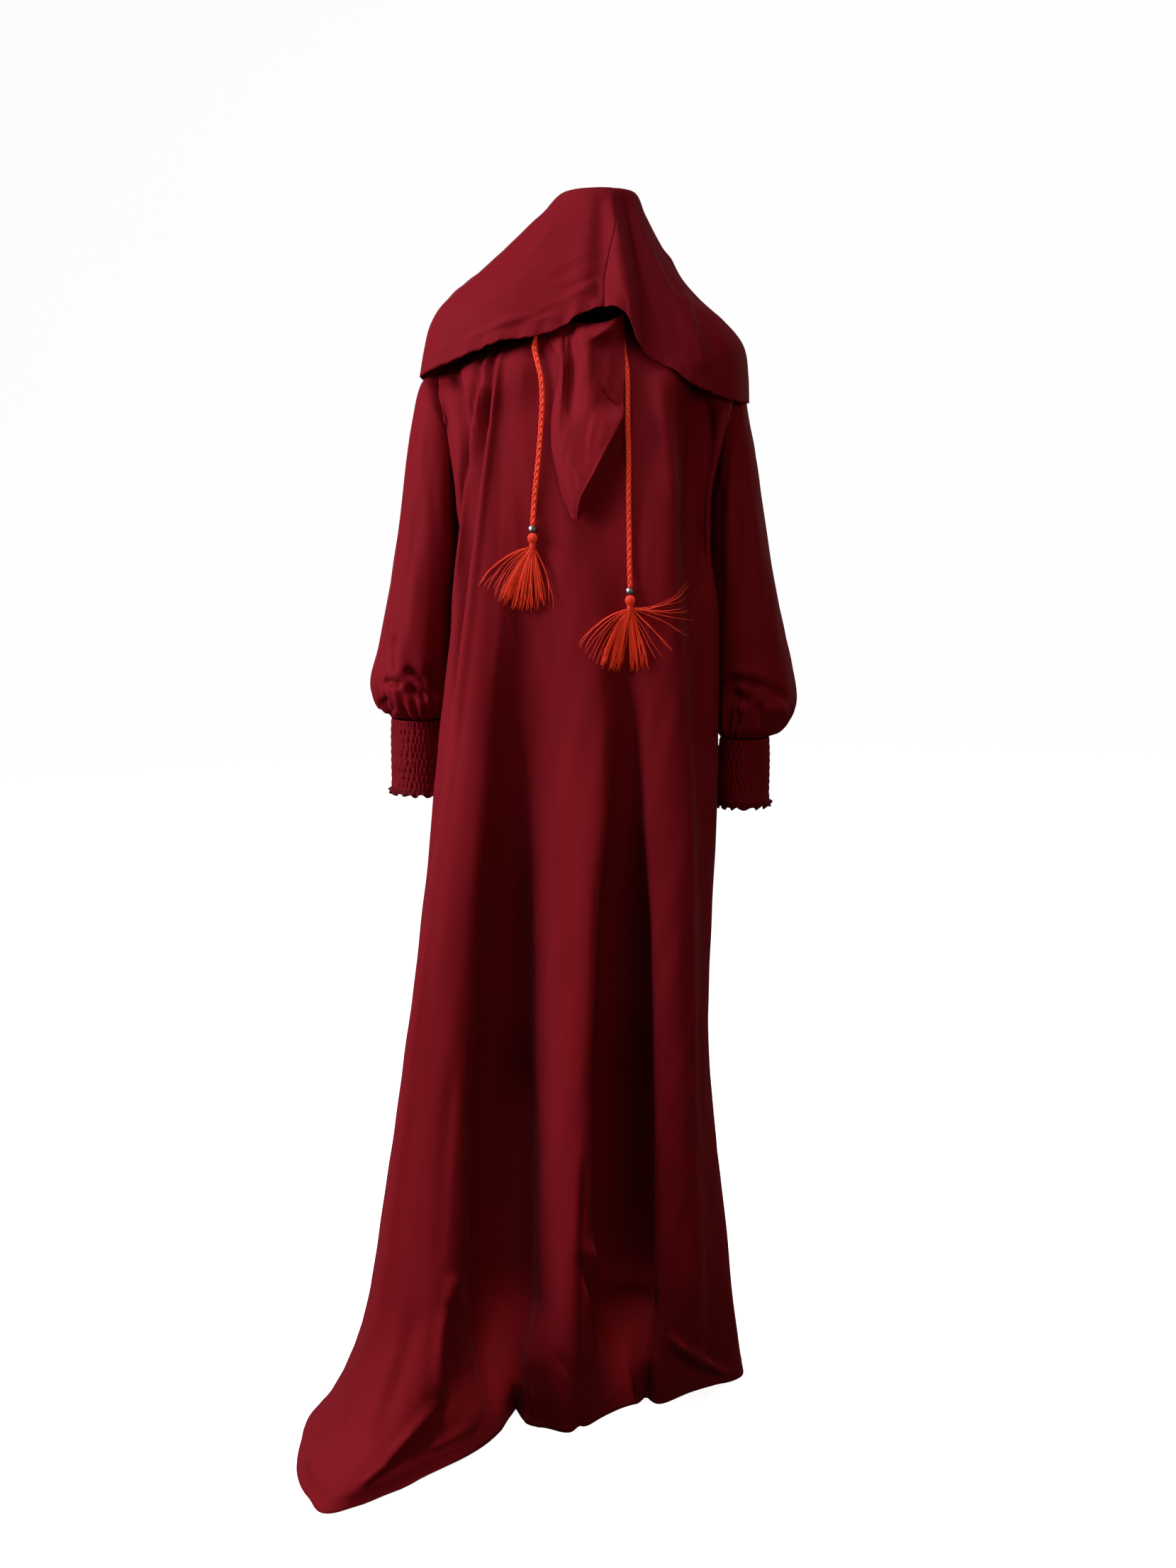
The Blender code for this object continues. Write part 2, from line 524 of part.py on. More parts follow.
def build_sleeve(name, rings, side, grids, collection):
    """A sleeve from its armhole to the gathers that meet the cuff."""
    loop = armhole(grids, side)
    count = len(loop)
    places = np.array(SLEEVE_ROWS, float)
    points = ring_table(rings, count, places)
    fade = np.clip(1 - places / SLEEVE_EASE, 0, 1) ** 2
    points += (loop - points[:, 0])[:, None] * fade[None, :, None]
    normals = outward(points, side)
    share = np.clip((places - GATHER_START) / (places[-1] - GATHER_START), 0, 1)
    share *= np.where(places == places[-1], LAST_GATHER, 1.0)
    wave = np.cos(GATHERS * 2 * math.pi * np.arange(count) / count)
    points += normals * (wave[:, None] * share[None, :] * GATHER_DEPTH)[..., None]
    normals = outward(points, side)
    normals[:, 0] = unit(normals[:, 0] * (0, 1, 1))
    normals[:, -1] = unit(normals[:, -1] * (1, 1, 0))
    inner = points - normals * WALL
    if side > 0:
        points, inner = points[::-1], inner[::-1]
    wall(name, points, inner, collection, closed=True)


def build_cuff(name, rings, side, collection):
    """A smocked cuff: puckers raised between its elastic rows over a plain inside."""
    count = 2 * GATHERS
    places = np.linspace(0, len(rings) - 1, SMOCK_ROWS + 1)
    plain = ring_table(rings, count, places)
    normals = outward(plain, side)
    i, j = np.meshgrid(np.arange(count), np.arange(SMOCK_ROWS + 1), indexing="ij")
    pucker = ((i + j) % 2) * SMOCK_DEPTH
    outer = plain + normals * pucker[..., None]
    inner = plain - normals * WALL
    if side > 0:
        outer, inner = outer[::-1], inner[::-1]
    wall(name, outer, inner, collection, closed=True)


def hood_ribs(grids):
    """The hood's edge all round, from the centre front over the wearer's left to the back and on."""
    outer, normals = grids["back_panel"]
    first, last = HOOD_REST_COLUMNS
    stand = SEAM + WALL
    ribs = [(row[:3], None, row[3:]) for row in (EDGE_RIGHT[0], *EDGE_LEFT)]
    for column in range(first, last + 1):
        edge = outer[column, HOOD_REST_ROW] + normals[column, HOOD_REST_ROW] * stand
        lift = normals[column, HOOD_REST_ROW - 1] * (stand + HOOD_LIFT)
        above = outer[column, HOOD_REST_ROW - 1] + lift
        ribs.append((edge, (above, normals[column, HOOD_REST_ROW]), REST_STAND_OFF))
    ribs.extend((row[:3], None, row[3:]) for row in EDGE_RIGHT[:0:-1])
    back_seam = 1 + len(EDGE_LEFT) + (len(outer) - 1) // 2 - first
    return ribs, back_seam


def hood_points(ribs):
    """Grid of ribs from the crown down to the edge."""
    crown = np.array(CROWN)
    grid = []
    for rim, lift, bulge in ribs:
        way = unit(np.array(rim[:2]) - crown[:2])
        top = np.array([*(crown[:2] + way * CROWN_RADIUS), crown[2] - CROWN_DROP])
        chord = np.array(rim) - top
        level = np.array([*way, 0.0])
        along = unit(chord)
        out = unit(level - along * level.dot(along))
        stand = curve_through((0, 0.4, 0.8, 1), ((0.0,), (bulge[0],), (bulge[1],), (0.0,)), HOOD_ROWS)
        line = top + chord * np.array(HOOD_ROWS)[:, None] + out * stand
        if lift is not None:
            line[-2] = lift[0]
        dome = crown * (1 - DOME_SHARE) + top * DOME_SHARE + np.array([0, 0, CROWN_DROP * DOME_RISE])
        grid.append(np.concatenate([[crown, dome], line]))
    return np.array(grid)


def build_hood(grids, collection):
    """Both halves of the hood, 0.3 mm apart along the seam over the crown."""
    ribs, back_seam = hood_ribs(grids)
    outer = hood_points(ribs)
    normals = grid_normals(outer, True)
    normals[:, 0] = (0.0, 0.0, 1.0)
    for number, (_, lift, _) in enumerate(ribs):
        if lift is not None:
            normals[number, -1] = lift[1]
    inner = outer - normals * WALL
    across = unit(np.roll(outer, -1, axis=0) - np.roll(outer, 1, axis=0))
    for name, first, last, side in (
        ("hood_left", 0, back_seam, 1),
        ("hood_right", back_seam, len(outer), -1),
    ):
        half = [number % len(outer) for number in range(first, last + 1)]
        half_outer, half_inner = outer[half], inner[half]
        for end, way in ((0, 1), (-1, -1)):
            shift = across[half[end]] * (way * HALF_SEAM)
            half_outer[end] += shift
            half_inner[end] += shift
        half_outer[:, 0] = np.array(CROWN) + (side * HALF_SEAM, 0, 0)
        half_inner[:, 0] = half_outer[:, 0] - (0, 0, WALL)
        wall(name, half_outer, half_inner, collection)


class Depth:
    """Reads y of the front panel's outer sheet at any x and z over the chest."""

    def __init__(self, panel):
        u = np.linspace(panel.places[0], panel.places[-1], DEPTH_COLUMNS)
        v = np.linspace(0, -HIP, DEPTH_ROWS)
        self.points = panel.sheet(u, v).reshape(-1, 3)
        self.normals = panel.normals(u, v).reshape(-1, 3)

    def at(self, x, z):
        near = np.argmin((self.points[:, 0] - x) ** 2 + (self.points[:, 2] - z) ** 2)
        point, normal = self.points[near], self.normals[near]
        return point[1] - (normal[0] * (x - point[0]) + normal[2] * (z - point[2])) / normal[1]


def build_chin(depth, collection):
    """The folded chin piece, its point hanging over the chest."""
    columns = len(Drape._fields) - 1
    table = np.empty((len(CHIN), columns, 3))
    for row, section in enumerate(CHIN):
        heights = curve_through((0, (columns - 1) / 2, columns - 1), section.z, np.arange(columns))
        for column, (x, stand) in enumerate(section[1:]):
            table[row, column] = (x, depth.at(x, heights[column]) - stand, heights[column])
    down = curve_through(np.arange(len(CHIN)), table, CHIN_ROWS)
    outer = curve_through(np.arange(columns), down.swapaxes(0, 1), CHIN_COLUMNS)
    inner = outer - grid_normals(outer, False) * WALL
    wall("chin_drape", outer, inner, collection)


def build_cord(name, route, collection):
    """A drawstring end along its route."""
    route = np.array(route)
    knots = np.concatenate([[0], np.cumsum(np.linalg.norm(np.diff(route, axis=0), axis=1))])
    points = curve_through(knots, route, np.linspace(0, knots[-1], CORD_STEPS))
    curve = bpy.data.curves.new(name, "CURVE")
    curve.dimensions = "3D"
    curve.bevel_depth = CORD_RADIUS
    curve.bevel_resolution = 2
    curve.use_fill_caps = True
    spline = curve.splines.new("POLY")
    spline.points.add(len(points) - 1)
    for place, point in zip(spline.points, points):
        place.co = (*point, 1.0)
    file_under(bpy.data.objects.new(name, curve), collection, BRAID)


def build_bead(name, place, collection):
    """A fluted metal bead round the cord."""
    tube = (BEAD_RADIUS - CORD_RADIUS - SEAM) / 2
    bpy.ops.mesh.primitive_torus_add(
        major_segments=2 * BEAD_FLUTES, minor_segments=BEAD_SIDES, major_radius=BEAD_RADIUS - tube,
        minor_radius=tube, location=place,
    )
    obj = bpy.context.object
    obj.name = obj.data.name = name
    for number, vertex in enumerate(obj.data.vertices):
        radius = math.hypot(vertex.co.x, vertex.co.y)
        if radius > BEAD_RADIUS - tube and (number // BEAD_SIDES) % 2:
            vertex.co.x *= 1 - FLUTE_DEPTH / radius
            vertex.co.y *= 1 - FLUTE_DEPTH / radius
        vertex.co.z *= BEAD_HALF_HEIGHT / tube
    obj.data.shade_smooth()
    file_under(obj, collection, METAL)


def strand(body, points):
    """One strand: a three-sided tube along its points that tapers to its tip."""
    rings = []
    for before, point, after in zip([points[0], *points], points[:-1], points[1:]):
        along = unit(after - before)
        side = unit(np.cross(along, (0.0, 1.0, 0.0)))
        other = np.cross(along, side)
        ring = []
        for corner in range(3):
            turn = 2 * math.pi * corner / 3
            offset = side * math.cos(turn) + other * math.sin(turn)
            ring.append(body.verts.new(point + offset * STRAND_RADIUS))
        rings.append(ring)
    body.faces.new(rings[0][::-1])
    for low, high in zip(rings[:-1], rings[1:]):
        for k in range(3):
            body.faces.new((low[k], low[k - 2], high[k - 2], high[k]))
    tip = body.verts.new(points[-1])
    for k in range(3):
        body.faces.new((rings[-1][k], rings[-1][k - 2], tip))


def tassel_strands(tassel, depth):
    """Each strand's points: down inside the neck, a bend, then out over the cloth, drooping."""
    root = np.array(tassel.knob) - (0, 0, NECK_DROP + NECK_LENGTH - ROOT_DEPTH)
    columns = len(tassel.angles)
    for layer in range(STRAND_LAYERS):
        angles = tassel.front_angles if layer == 0 else tassel.angles
        deep = layer - (STRAND_LAYERS - 1) / 2
        for column, angle in enumerate(angles):
            aside = column - (columns - 1) / 2
            lean = math.radians(angle)
            reach = STRAND_LENGTH * (1 - 0.06 * ((2 * column + layer) % 3))
            start = root + (aside * STRAND_SPACING, deep * LAYER_SPACING, 0)
            drop = ROOT_DEPTH + BEND_DROP + BEND_STEP * min(column, columns - 1 - column)
            bend = start + (0, 0, -drop)
            way = np.array([math.sin(lean), 0, -math.cos(lean)])
            droop = np.array([math.cos(lean), 0, math.sin(lean)]) * math.sin(lean) * reach * DROOP
            middle = bend + way * reach * 0.5 + droop
            end = bend + way * reach
            for point, spread in ((middle, LAYER_SPREAD / 2), (end, LAYER_SPREAD)):
                rest = depth.at(point[0], point[2]) - STRAND_LIFT
                point[1] = rest - ((STRAND_LAYERS - 1) / 2 - deep) * spread
            yield [start, bend, middle, end]


def build_tassel(name, tassel, depth, collection, helpers):
    """A wrapped knob and neck with strands that fan out over the cloth."""
    bpy.ops.mesh.primitive_uv_sphere_add(
        segments=12, ring_count=8, radius=KNOB_RADIUS, location=tassel.knob
    )
    knob = bpy.context.object
    knob.name = knob.data.name = name
    for vertex in knob.data.vertices:
        vertex.co.z *= KNOB_HALF_HEIGHT / KNOB_RADIUS
    file_under(knob, collection, BRAID)
    x, y, z = tassel.knob
    bpy.ops.mesh.primitive_cone_add(
        vertices=14, radius1=NECK_LOW_RADIUS, radius2=NECK_TOP_RADIUS, depth=NECK_LENGTH,
        location=(x, y, z - NECK_DROP - NECK_LENGTH / 2),
    )
    neck = bpy.context.object
    neck.name = neck.data.name = name + "_neck"
    body = bmesh.new()
    for points in tassel_strands(tassel, depth):
        strand(body, points)
    bmesh.ops.recalc_face_normals(body, faces=body.faces)
    mesh = bpy.data.meshes.new(name + "_strands")
    body.to_mesh(mesh)
    body.free()
    strands = bpy.data.objects.new(name + "_strands", mesh)
    for helper in (neck, strands):
        file_under(helper, helpers)
        helper.hide_render = True
        helper.display_type = "WIRE"
        union = knob.modifiers.new(helper.name, "BOOLEAN")
        union.operation = "UNION"
        union.object = helper


def main():
    for obj in list(bpy.data.objects):
        bpy.data.objects.remove(obj)
    dress = bpy.data.collections.new("prayer_dress")
    helpers = bpy.data.collections.new("helpers")
    bpy.context.scene.collection.children.link(dress)
    bpy.context.scene.collection.children.link(helpers)
    grids = build_panels(dress)
    build_sleeve("sleeve_right", SLEEVE_RIGHT, -1, grids, dress)
    build_sleeve("sleeve_left", SLEEVE_LEFT, 1, grids, dress)
    build_cuff("cuff_right", CUFF_RIGHT, -1, dress)
    build_cuff("cuff_left", CUFF_LEFT, 1, dress)
    build_hood(grids, dress)
    depth = Depth(PANELS[0])
    build_chin(depth, dress)
    for side, route, bead_place, tassel in (
        ("right", CORD_RIGHT, BEAD_RIGHT, TASSEL_RIGHT),
        ("left", CORD_LEFT, BEAD_LEFT, TASSEL_LEFT),
    ):
        build_cord("cord_" + side, route, dress)
        build_bead("bead_" + side, bead_place, dress)
        build_tassel("tassel_" + side, tassel, depth, dress, helpers)


PANELS = body_panels()
main()
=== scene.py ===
"""Looks of the hooded prayer dress: crepe, smocking, plaited drawstrings, beads and tassels.

Laid out as a Blender add-on and run as a script. Metres, +Z up. The front faces -Y and +X is the
wearer's left. The tables of folds, rings and edges follow the solids' own sizes, so every sheet lies on
its solid. A few folds and a few points of the hood's edge lie some millimetres beside it.
"""

import math
from collections import namedtuple

import bmesh
import bpy
import numpy as np
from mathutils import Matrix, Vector
from mathutils.bvhtree import BVHTree


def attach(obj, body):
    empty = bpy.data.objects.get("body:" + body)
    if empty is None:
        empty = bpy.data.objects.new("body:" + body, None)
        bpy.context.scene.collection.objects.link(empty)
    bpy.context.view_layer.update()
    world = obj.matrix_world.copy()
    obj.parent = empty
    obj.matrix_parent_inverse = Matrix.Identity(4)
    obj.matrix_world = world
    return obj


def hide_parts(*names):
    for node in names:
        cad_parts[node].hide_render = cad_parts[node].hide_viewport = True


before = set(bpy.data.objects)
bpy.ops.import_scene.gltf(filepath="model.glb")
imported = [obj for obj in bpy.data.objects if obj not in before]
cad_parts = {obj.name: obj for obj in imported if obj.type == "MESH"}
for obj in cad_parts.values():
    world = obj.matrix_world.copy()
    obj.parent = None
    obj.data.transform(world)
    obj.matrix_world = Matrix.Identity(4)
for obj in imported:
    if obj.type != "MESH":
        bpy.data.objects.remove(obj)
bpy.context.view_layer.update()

bl_info = {
    "name": "Hooded prayer dress",
    "version": (1, 0, 0),
    "blender": (4, 5, 0),
    "location": "View3D > Sidebar > Prayer dress",
    "description": "Builds the cloth, drawstrings, beads and tassels of a hooded prayer dress",
    "category": "Object",
}

# Driving sizes, shared with the solids
FLOOR = -1.42
WALL = 0.0015
SEAM = 0.0003
HALF_SEAM = SEAM / 2
STEP = 1e-4
NECK_POINT = (0.075, 0.000, 0.008)
SHOULDER_TIP = (0.195, 0.005, -0.050)
YOKE, UNDERARM, HIP, KNEE, LOW = -0.110, -0.205, -0.550, -0.950, -1.220
CHEST_DEPTH = 0.048
DEPTHS = (0.0, CHEST_DEPTH, -YOKE, -UNDERARM, -HIP, -KNEE, -LOW)
ARM_DEPTH = DEPTHS[3]
RUN_OUT = 0.06
HEM_PULL, HEM_SOFTNESS = 0.42, 0.33
CROWN = (0.014, 0.000, 0.181)
CROWN_RADIUS = 0.046
CROWN_DROP = 0.005
DOME_SHARE, DOME_RISE = 0.55, 0.3
HOOD_ROWS = (0.0, 0.1, 0.22, 0.36, 0.5, 0.64, 0.77, 0.9, 1.0)
HOOD_REST_DEPTH, HOOD_LIFT_DEPTH, HOOD_LIFT = 0.123, 0.1025, 0.004
REST_STAND_OFF = (0.020, 0.018)
SLEEVE_EASE = 2.0

# Units and the creases' shape
FULL_TURN = 2 * math.pi
MM_PER_METRE = 1000
TINY = 1e-12
# How much lower a point looks in a view from above for each metre that it stands nearer
SEEN_LEAN = 0.4
# Farther than any point lies, where a piece has no hem or seam to draw
FAR = 1.0
# The share of its length that a crease runs on past each end, and over which it fades
CREASE_RUN_OUT, CREASE_TAPER = 0.08, 0.3
RIPPLES = 14

# Sewing and weave
THREAD_PITCH = 0.0009
SEAM_LINE = 0.0014
STITCH_LENGTH, STITCH_SHARE, STITCH_WIDTH = 0.0034, 0.74, 0.0009
GROOVE_WIDTH = 0.0035

# Cords, beads and tassels
ROUTE_POINTS = 2000
PLAIT_SPACING, CORD_SPACING = 0.0007, 0.004
STRAND_SHARE, LAP_SHARE = 0.245, 0.15
# How tight the plait is at its ends, and how far from each it is loose
TIGHTEST, NECK_PULL, BEAD_PULL = 0.45, 0.02, 0.012
TUBE_SIDE = (0.31, 0.87, 0.12)
THREAD_TWIST = 0.0066
# Strength of the painted glow: the threads give out their own colour as light, though they are no lamp
THREAD_PAINTED_GLOW = 0.16
# Where a thread rests if no cloth lies behind it
CHEST_Y = -0.12
KNOB_RADIUS, KNOB_HALF_HEIGHT, KNOB_WRAPS = 0.0057, 0.0066, 34
NECK_RADIUS, NECK_TOP, NECK_PITCH, NECK_TURNS, NECK_LENGTH = 0.0033, -0.0062, 0.00085, 5, 0.0108
WRAP_START, WRAP_RADIUS, NECK_THREAD_RADIUS = 0.12, 0.00062, 0.0006
LOCKS = 17
# How far the threads lean at root and tip, as shares of their own angle in the fan
ROOT_SHARE, TIP_SHARE = 1.35, 0.65
# Heights over the cloth: of the lowest thread, then of the whole fan and of its stray threads
LOWEST_THREAD, FAN_HEIGHT, STRAY_HEIGHT = 0.0016, 0.0048, 0.0055
# How far a thread's root lies from the neck's middle, and the share of it that leads to the cloth
NECK_SPREAD, NECK_JITTER, NECK_DEPTH, LEAD = 0.0028, 0.0012, 0.0026, 0.25
# How far behind its resting place a thread may lie
THREAD_REST = 0.0009
THREAD_STEPS = 12
BEAD_RADIUS, BEAD_HALF_HEIGHT, BEAD_SIDES = 0.0056, 0.0043, 10
FLUTES, FLUTE_SHARE, FLUTE_TOP, FLUTE_DEPTH = 10, 0.84, 0.0054, 0.0009

# Camera and backdrop
SENSOR = 36.0
FOCAL_SHARE = 2781 / 2212
CAMERA_TILT = 80.9
BACKDROP_GLOW = 0.90
BACKDROP_RADIUS, BACKDROP_HEIGHT, BACKDROP_SWEEP = 7.0, 6.0, 1.2
# Where the soft lights are turned to
LIT_PLACE = (0.0, 0.0, -0.45)

Fold = namedtuple("Fold", "name top chest yoke underarm hip knee low hem")
Ring = namedtuple("Ring", "outer_x outer_z inner_x inner_z front back")
Edge = namedtuple("Edge", "x y z upper lower")
# A soft line pressed into the cloth, in millimetres, seen from the front or the back: from x1, seen1 to
# x2, seen2, its half width, how deep it is (below 0 for a ridge) and how far its middle bows sideways
Crease = namedtuple("Crease", "x1 seen1 x2 seen2 width depth bow")
# A thread of a tassel: the angle from straight down, towards +X, at its root and its tip, and its length
Thread = namedtuple("Thread", "root tip length")


def on_shoulder(x):
    """The point of the shoulder seam at this x."""
    share = (abs(x) - NECK_POINT[0]) / (SHOULDER_TIP[0] - NECK_POINT[0])
    return (x, *(a + share * (b - a) for a, b in zip(NECK_POINT[1:], SHOULDER_TIP[1:])))


FRONT = (
    Fold("side_right", on_shoulder(-0.195), (-0.190, -0.022, -0.075), (-0.180, -0.042), (-0.160, 0.005),
         (-0.172, 0.010), (-0.226, 0.005), (-0.268, -0.015), (-0.350, -0.060)),
    Fold("edge_right", on_shoulder(-0.168), (-0.172, -0.040, -0.062), (-0.172, -0.062), (-0.166, -0.072),
         (-0.195, -0.088), (-0.243, -0.100), (-0.284, -0.130), (-0.374, -0.185)),
    Fold("crease_right", on_shoulder(-0.148), (-0.152, -0.064, -0.050), (-0.156, -0.084), (-0.150, -0.090),
         (-0.184, -0.118), (-0.239, -0.145), (-0.280, -0.185), (-0.368, -0.280)),
    Fold("ridge_right", on_shoulder(-0.122), (-0.126, -0.086, -0.044), (-0.130, -0.108), (-0.135, -0.130),
         (-0.172, -0.152), (-0.231, -0.180), (-0.264, -0.228), (-0.345, -0.345)),
    Fold("turn_right", on_shoulder(-0.096), (-0.099, -0.093, -0.039), (-0.104, -0.116), (-0.106, -0.139),
         (-0.127, -0.164), (-0.158, -0.190), (-0.174, -0.240), (-0.290, -0.374)),
    Fold("fall_right", on_shoulder(-0.078), (-0.081, -0.095, -0.035), (-0.085, -0.119), (-0.090, -0.142),
         (-0.112, -0.148), (-0.139, -0.160), (-0.152, -0.190), (-0.205, -0.300)),
    Fold("valley_right", (-0.060, -0.060, 0.004), (-0.062, -0.098, -0.040), (-0.064, -0.121),
         (-0.072, -0.143), (-0.095, -0.136), (-0.112, -0.130), (-0.118, -0.142), (-0.120, -0.190)),
    Fold("ridge_middle", (-0.020, -0.090, -0.002), (-0.021, -0.111, -0.045), (-0.022, -0.124),
         (-0.010, -0.147), (0.020, -0.166), (0.004, -0.182), (-0.006, -0.192), (-0.012, -0.172)),
    Fold("valley_middle", (0.030, -0.090, -0.002), (0.030, -0.110, -0.045), (0.030, -0.123), (0.038, -0.146),
         (0.052, -0.138), (0.044, -0.108), (0.044, -0.094), (0.060, -0.088)),
    Fold("rise_left", (0.069, -0.046, 0.006), (0.073, -0.096, -0.038), (0.078, -0.120), (0.078, -0.145),
         (0.082, -0.152), (0.082, -0.145), (0.088, -0.130), (0.100, -0.095)),
    Fold("ridge_left", on_shoulder(0.100), (0.105, -0.088, -0.040), (0.112, -0.108), (0.113, -0.134),
         (0.127, -0.146), (0.136, -0.142), (0.144, -0.122), (0.148, -0.060)),
    Fold("valley_left", on_shoulder(0.125), (0.130, -0.066, -0.048), (0.132, -0.072), (0.127, -0.088),
         (0.140, -0.108), (0.148, -0.104), (0.162, -0.090), (0.172, -0.046)),
    Fold("edge_left", on_shoulder(0.155), (0.158, -0.052, -0.055), (0.162, -0.074), (0.160, -0.082),
         (0.164, -0.082), (0.160, -0.072), (0.184, -0.062), (0.199, -0.032)),
    Fold("side_left", on_shoulder(0.195), (0.190, -0.022, -0.075), (0.178, -0.042), (0.150, 0.005),
         (0.160, 0.010), (0.158, 0.012), (0.187, 0.014), (0.218, 0.012)),
)
BACK = (
    Fold("side_left", on_shoulder(0.195), (0.190, 0.030, -0.075), (0.178, 0.052), (0.150, 0.005),
         (0.160, 0.010), (0.158, 0.012), (0.187, 0.014), (0.218, 0.012)),
    Fold("ridge_left", on_shoulder(0.160), (0.156, 0.052, -0.057), (0.150, 0.082), (0.128, 0.080),
         (0.138, 0.092), (0.142, 0.105), (0.165, 0.130), (0.190, 0.150)),
    Fold("valley_left", on_shoulder(0.115), (0.108, 0.064, -0.045), (0.098, 0.098), (0.085, 0.098),
         (0.088, 0.086), (0.090, 0.080), (0.100, 0.088), (0.112, 0.098)),
    Fold("ridge_inner_left", on_shoulder(0.078), (0.064, 0.066, -0.032), (0.050, 0.104), (0.040, 0.106),
         (0.040, 0.122), (0.042, 0.142), (0.048, 0.168), (0.055, 0.195)),
    Fold("valley_middle", (0.000, 0.052, 0.018), (0.000, 0.088, -0.040), (0.000, 0.106), (-0.008, 0.104),
         (-0.012, 0.094), (-0.018, 0.095), (-0.022, 0.105), (-0.028, 0.118)),
    Fold("ridge_inner_right", on_shoulder(-0.078), (-0.064, 0.066, -0.032), (-0.050, 0.104), (-0.060, 0.104),
         (-0.066, 0.124), (-0.080, 0.148), (-0.098, 0.178), (-0.118, 0.210)),
    Fold("valley_right", on_shoulder(-0.115), (-0.108, 0.064, -0.045), (-0.098, 0.098), (-0.100, 0.095),
         (-0.112, 0.084), (-0.132, 0.082), (-0.155, 0.092), (-0.185, 0.108)),
    Fold("ridge_right", on_shoulder(-0.160), (-0.156, 0.052, -0.057), (-0.150, 0.082), (-0.138, 0.072),
         (-0.160, 0.080), (-0.195, 0.092), (-0.232, 0.105), (-0.290, 0.110)),
    Fold("side_right", on_shoulder(-0.195), (-0.190, 0.030, -0.075), (-0.180, 0.052), (-0.160, 0.005),
         (-0.172, 0.010), (-0.226, 0.005), (-0.268, -0.015), (-0.350, -0.060)),
)
BACK_STEPS = (2, 2, 3, 3, 3, 3, 2, 2)
HOOD_REST_COLUMNS = (3, 17)

SLEEVE_RIGHT = (
    Ring(-0.195, -0.050, -0.160, -0.205, -0.047, 0.057),
    Ring(-0.216, -0.062, -0.164, -0.213, -0.052, 0.061),
    Ring(-0.228, -0.108, -0.167, -0.226, -0.055, 0.064),
    Ring(-0.237, -0.160, -0.169, -0.245, -0.056, 0.066),
    Ring(-0.247, -0.243, -0.171, -0.282, -0.055, 0.066),
    Ring(-0.263, -0.335, -0.174, -0.345, -0.054, 0.066),
    Ring(-0.276, -0.400, -0.178, -0.400, -0.055, 0.066),
    Ring(-0.287, -0.443, -0.181, -0.447, -0.055, 0.064),
    Ring(-0.284, -0.468, -0.183, -0.474, -0.052, 0.058),
    Ring(-0.274, -0.486, -0.187, -0.489, -0.044, 0.048),
    Ring(-0.261, -0.495, -0.192, -0.496, -0.035, 0.038),
)
CUFF_RIGHT = (
    Ring(-0.261, -0.497, -0.192, -0.498, -0.035, 0.038),
    Ring(-0.262, -0.520, -0.190, -0.520, -0.036, 0.038),
    Ring(-0.262, -0.560, -0.189, -0.562, -0.036, 0.038),
    Ring(-0.262, -0.585, -0.190, -0.587, -0.037, 0.039),
    Ring(-0.265, -0.596, -0.188, -0.598, -0.040, 0.042),
)
SLEEVE_LEFT = (
    Ring(0.195, -0.050, 0.150, -0.205, -0.047, 0.057),
    Ring(0.204, -0.070, 0.154, -0.213, -0.048, 0.058),
    Ring(0.211, -0.116, 0.156, -0.228, -0.050, 0.062),
    Ring(0.221, -0.167, 0.157, -0.250, -0.054, 0.065),
    Ring(0.232, -0.243, 0.158, -0.290, -0.055, 0.066),
    Ring(0.250, -0.335, 0.160, -0.355, -0.054, 0.066),
    Ring(0.262, -0.391, 0.163, -0.410, -0.055, 0.066),
    Ring(0.275, -0.457, 0.166, -0.462, -0.055, 0.064),
    Ring(0.272, -0.487, 0.168, -0.494, -0.052, 0.058),
    Ring(0.256, -0.510, 0.171, -0.513, -0.044, 0.048),
    Ring(0.241, -0.520, 0.176, -0.521, -0.035, 0.038),
)
CUFF_LEFT = (
    Ring(0.241, -0.522, 0.176, -0.523, -0.035, 0.038),
    Ring(0.242, -0.545, 0.173, -0.546, -0.036, 0.038),
    Ring(0.242, -0.578, 0.172, -0.580, -0.036, 0.038),
    Ring(0.242, -0.602, 0.173, -0.604, -0.037, 0.039),
    Ring(0.245, -0.613, 0.171, -0.615, -0.040, 0.042),
)

# From the centre front round the wearer's right side, to where the hood rests on the back
EDGE_RIGHT = (
    Edge(0.020, -0.110, 0.027, 0.000, 0.000),
    Edge(-0.006, -0.110, 0.020, 0.004, 0.004),
    Edge(-0.036, -0.105, 0.001, 0.006, 0.006),
    Edge(-0.070, -0.100, -0.009, 0.008, 0.009),
    Edge(-0.105, -0.091, -0.012, 0.010, 0.014),
    Edge(-0.138, -0.076, -0.023, 0.012, 0.020),
    Edge(-0.170, -0.056, -0.035, 0.014, 0.025),
    Edge(-0.198, -0.036, -0.045, 0.016, 0.029),
    Edge(-0.215, -0.010, -0.052, 0.017, 0.030),
    Edge(-0.218, 0.022, -0.054, 0.017, 0.029),
    Edge(-0.206, 0.052, -0.064, 0.017, 0.027),
    Edge(-0.180, 0.080, -0.088, 0.018, 0.026),
)
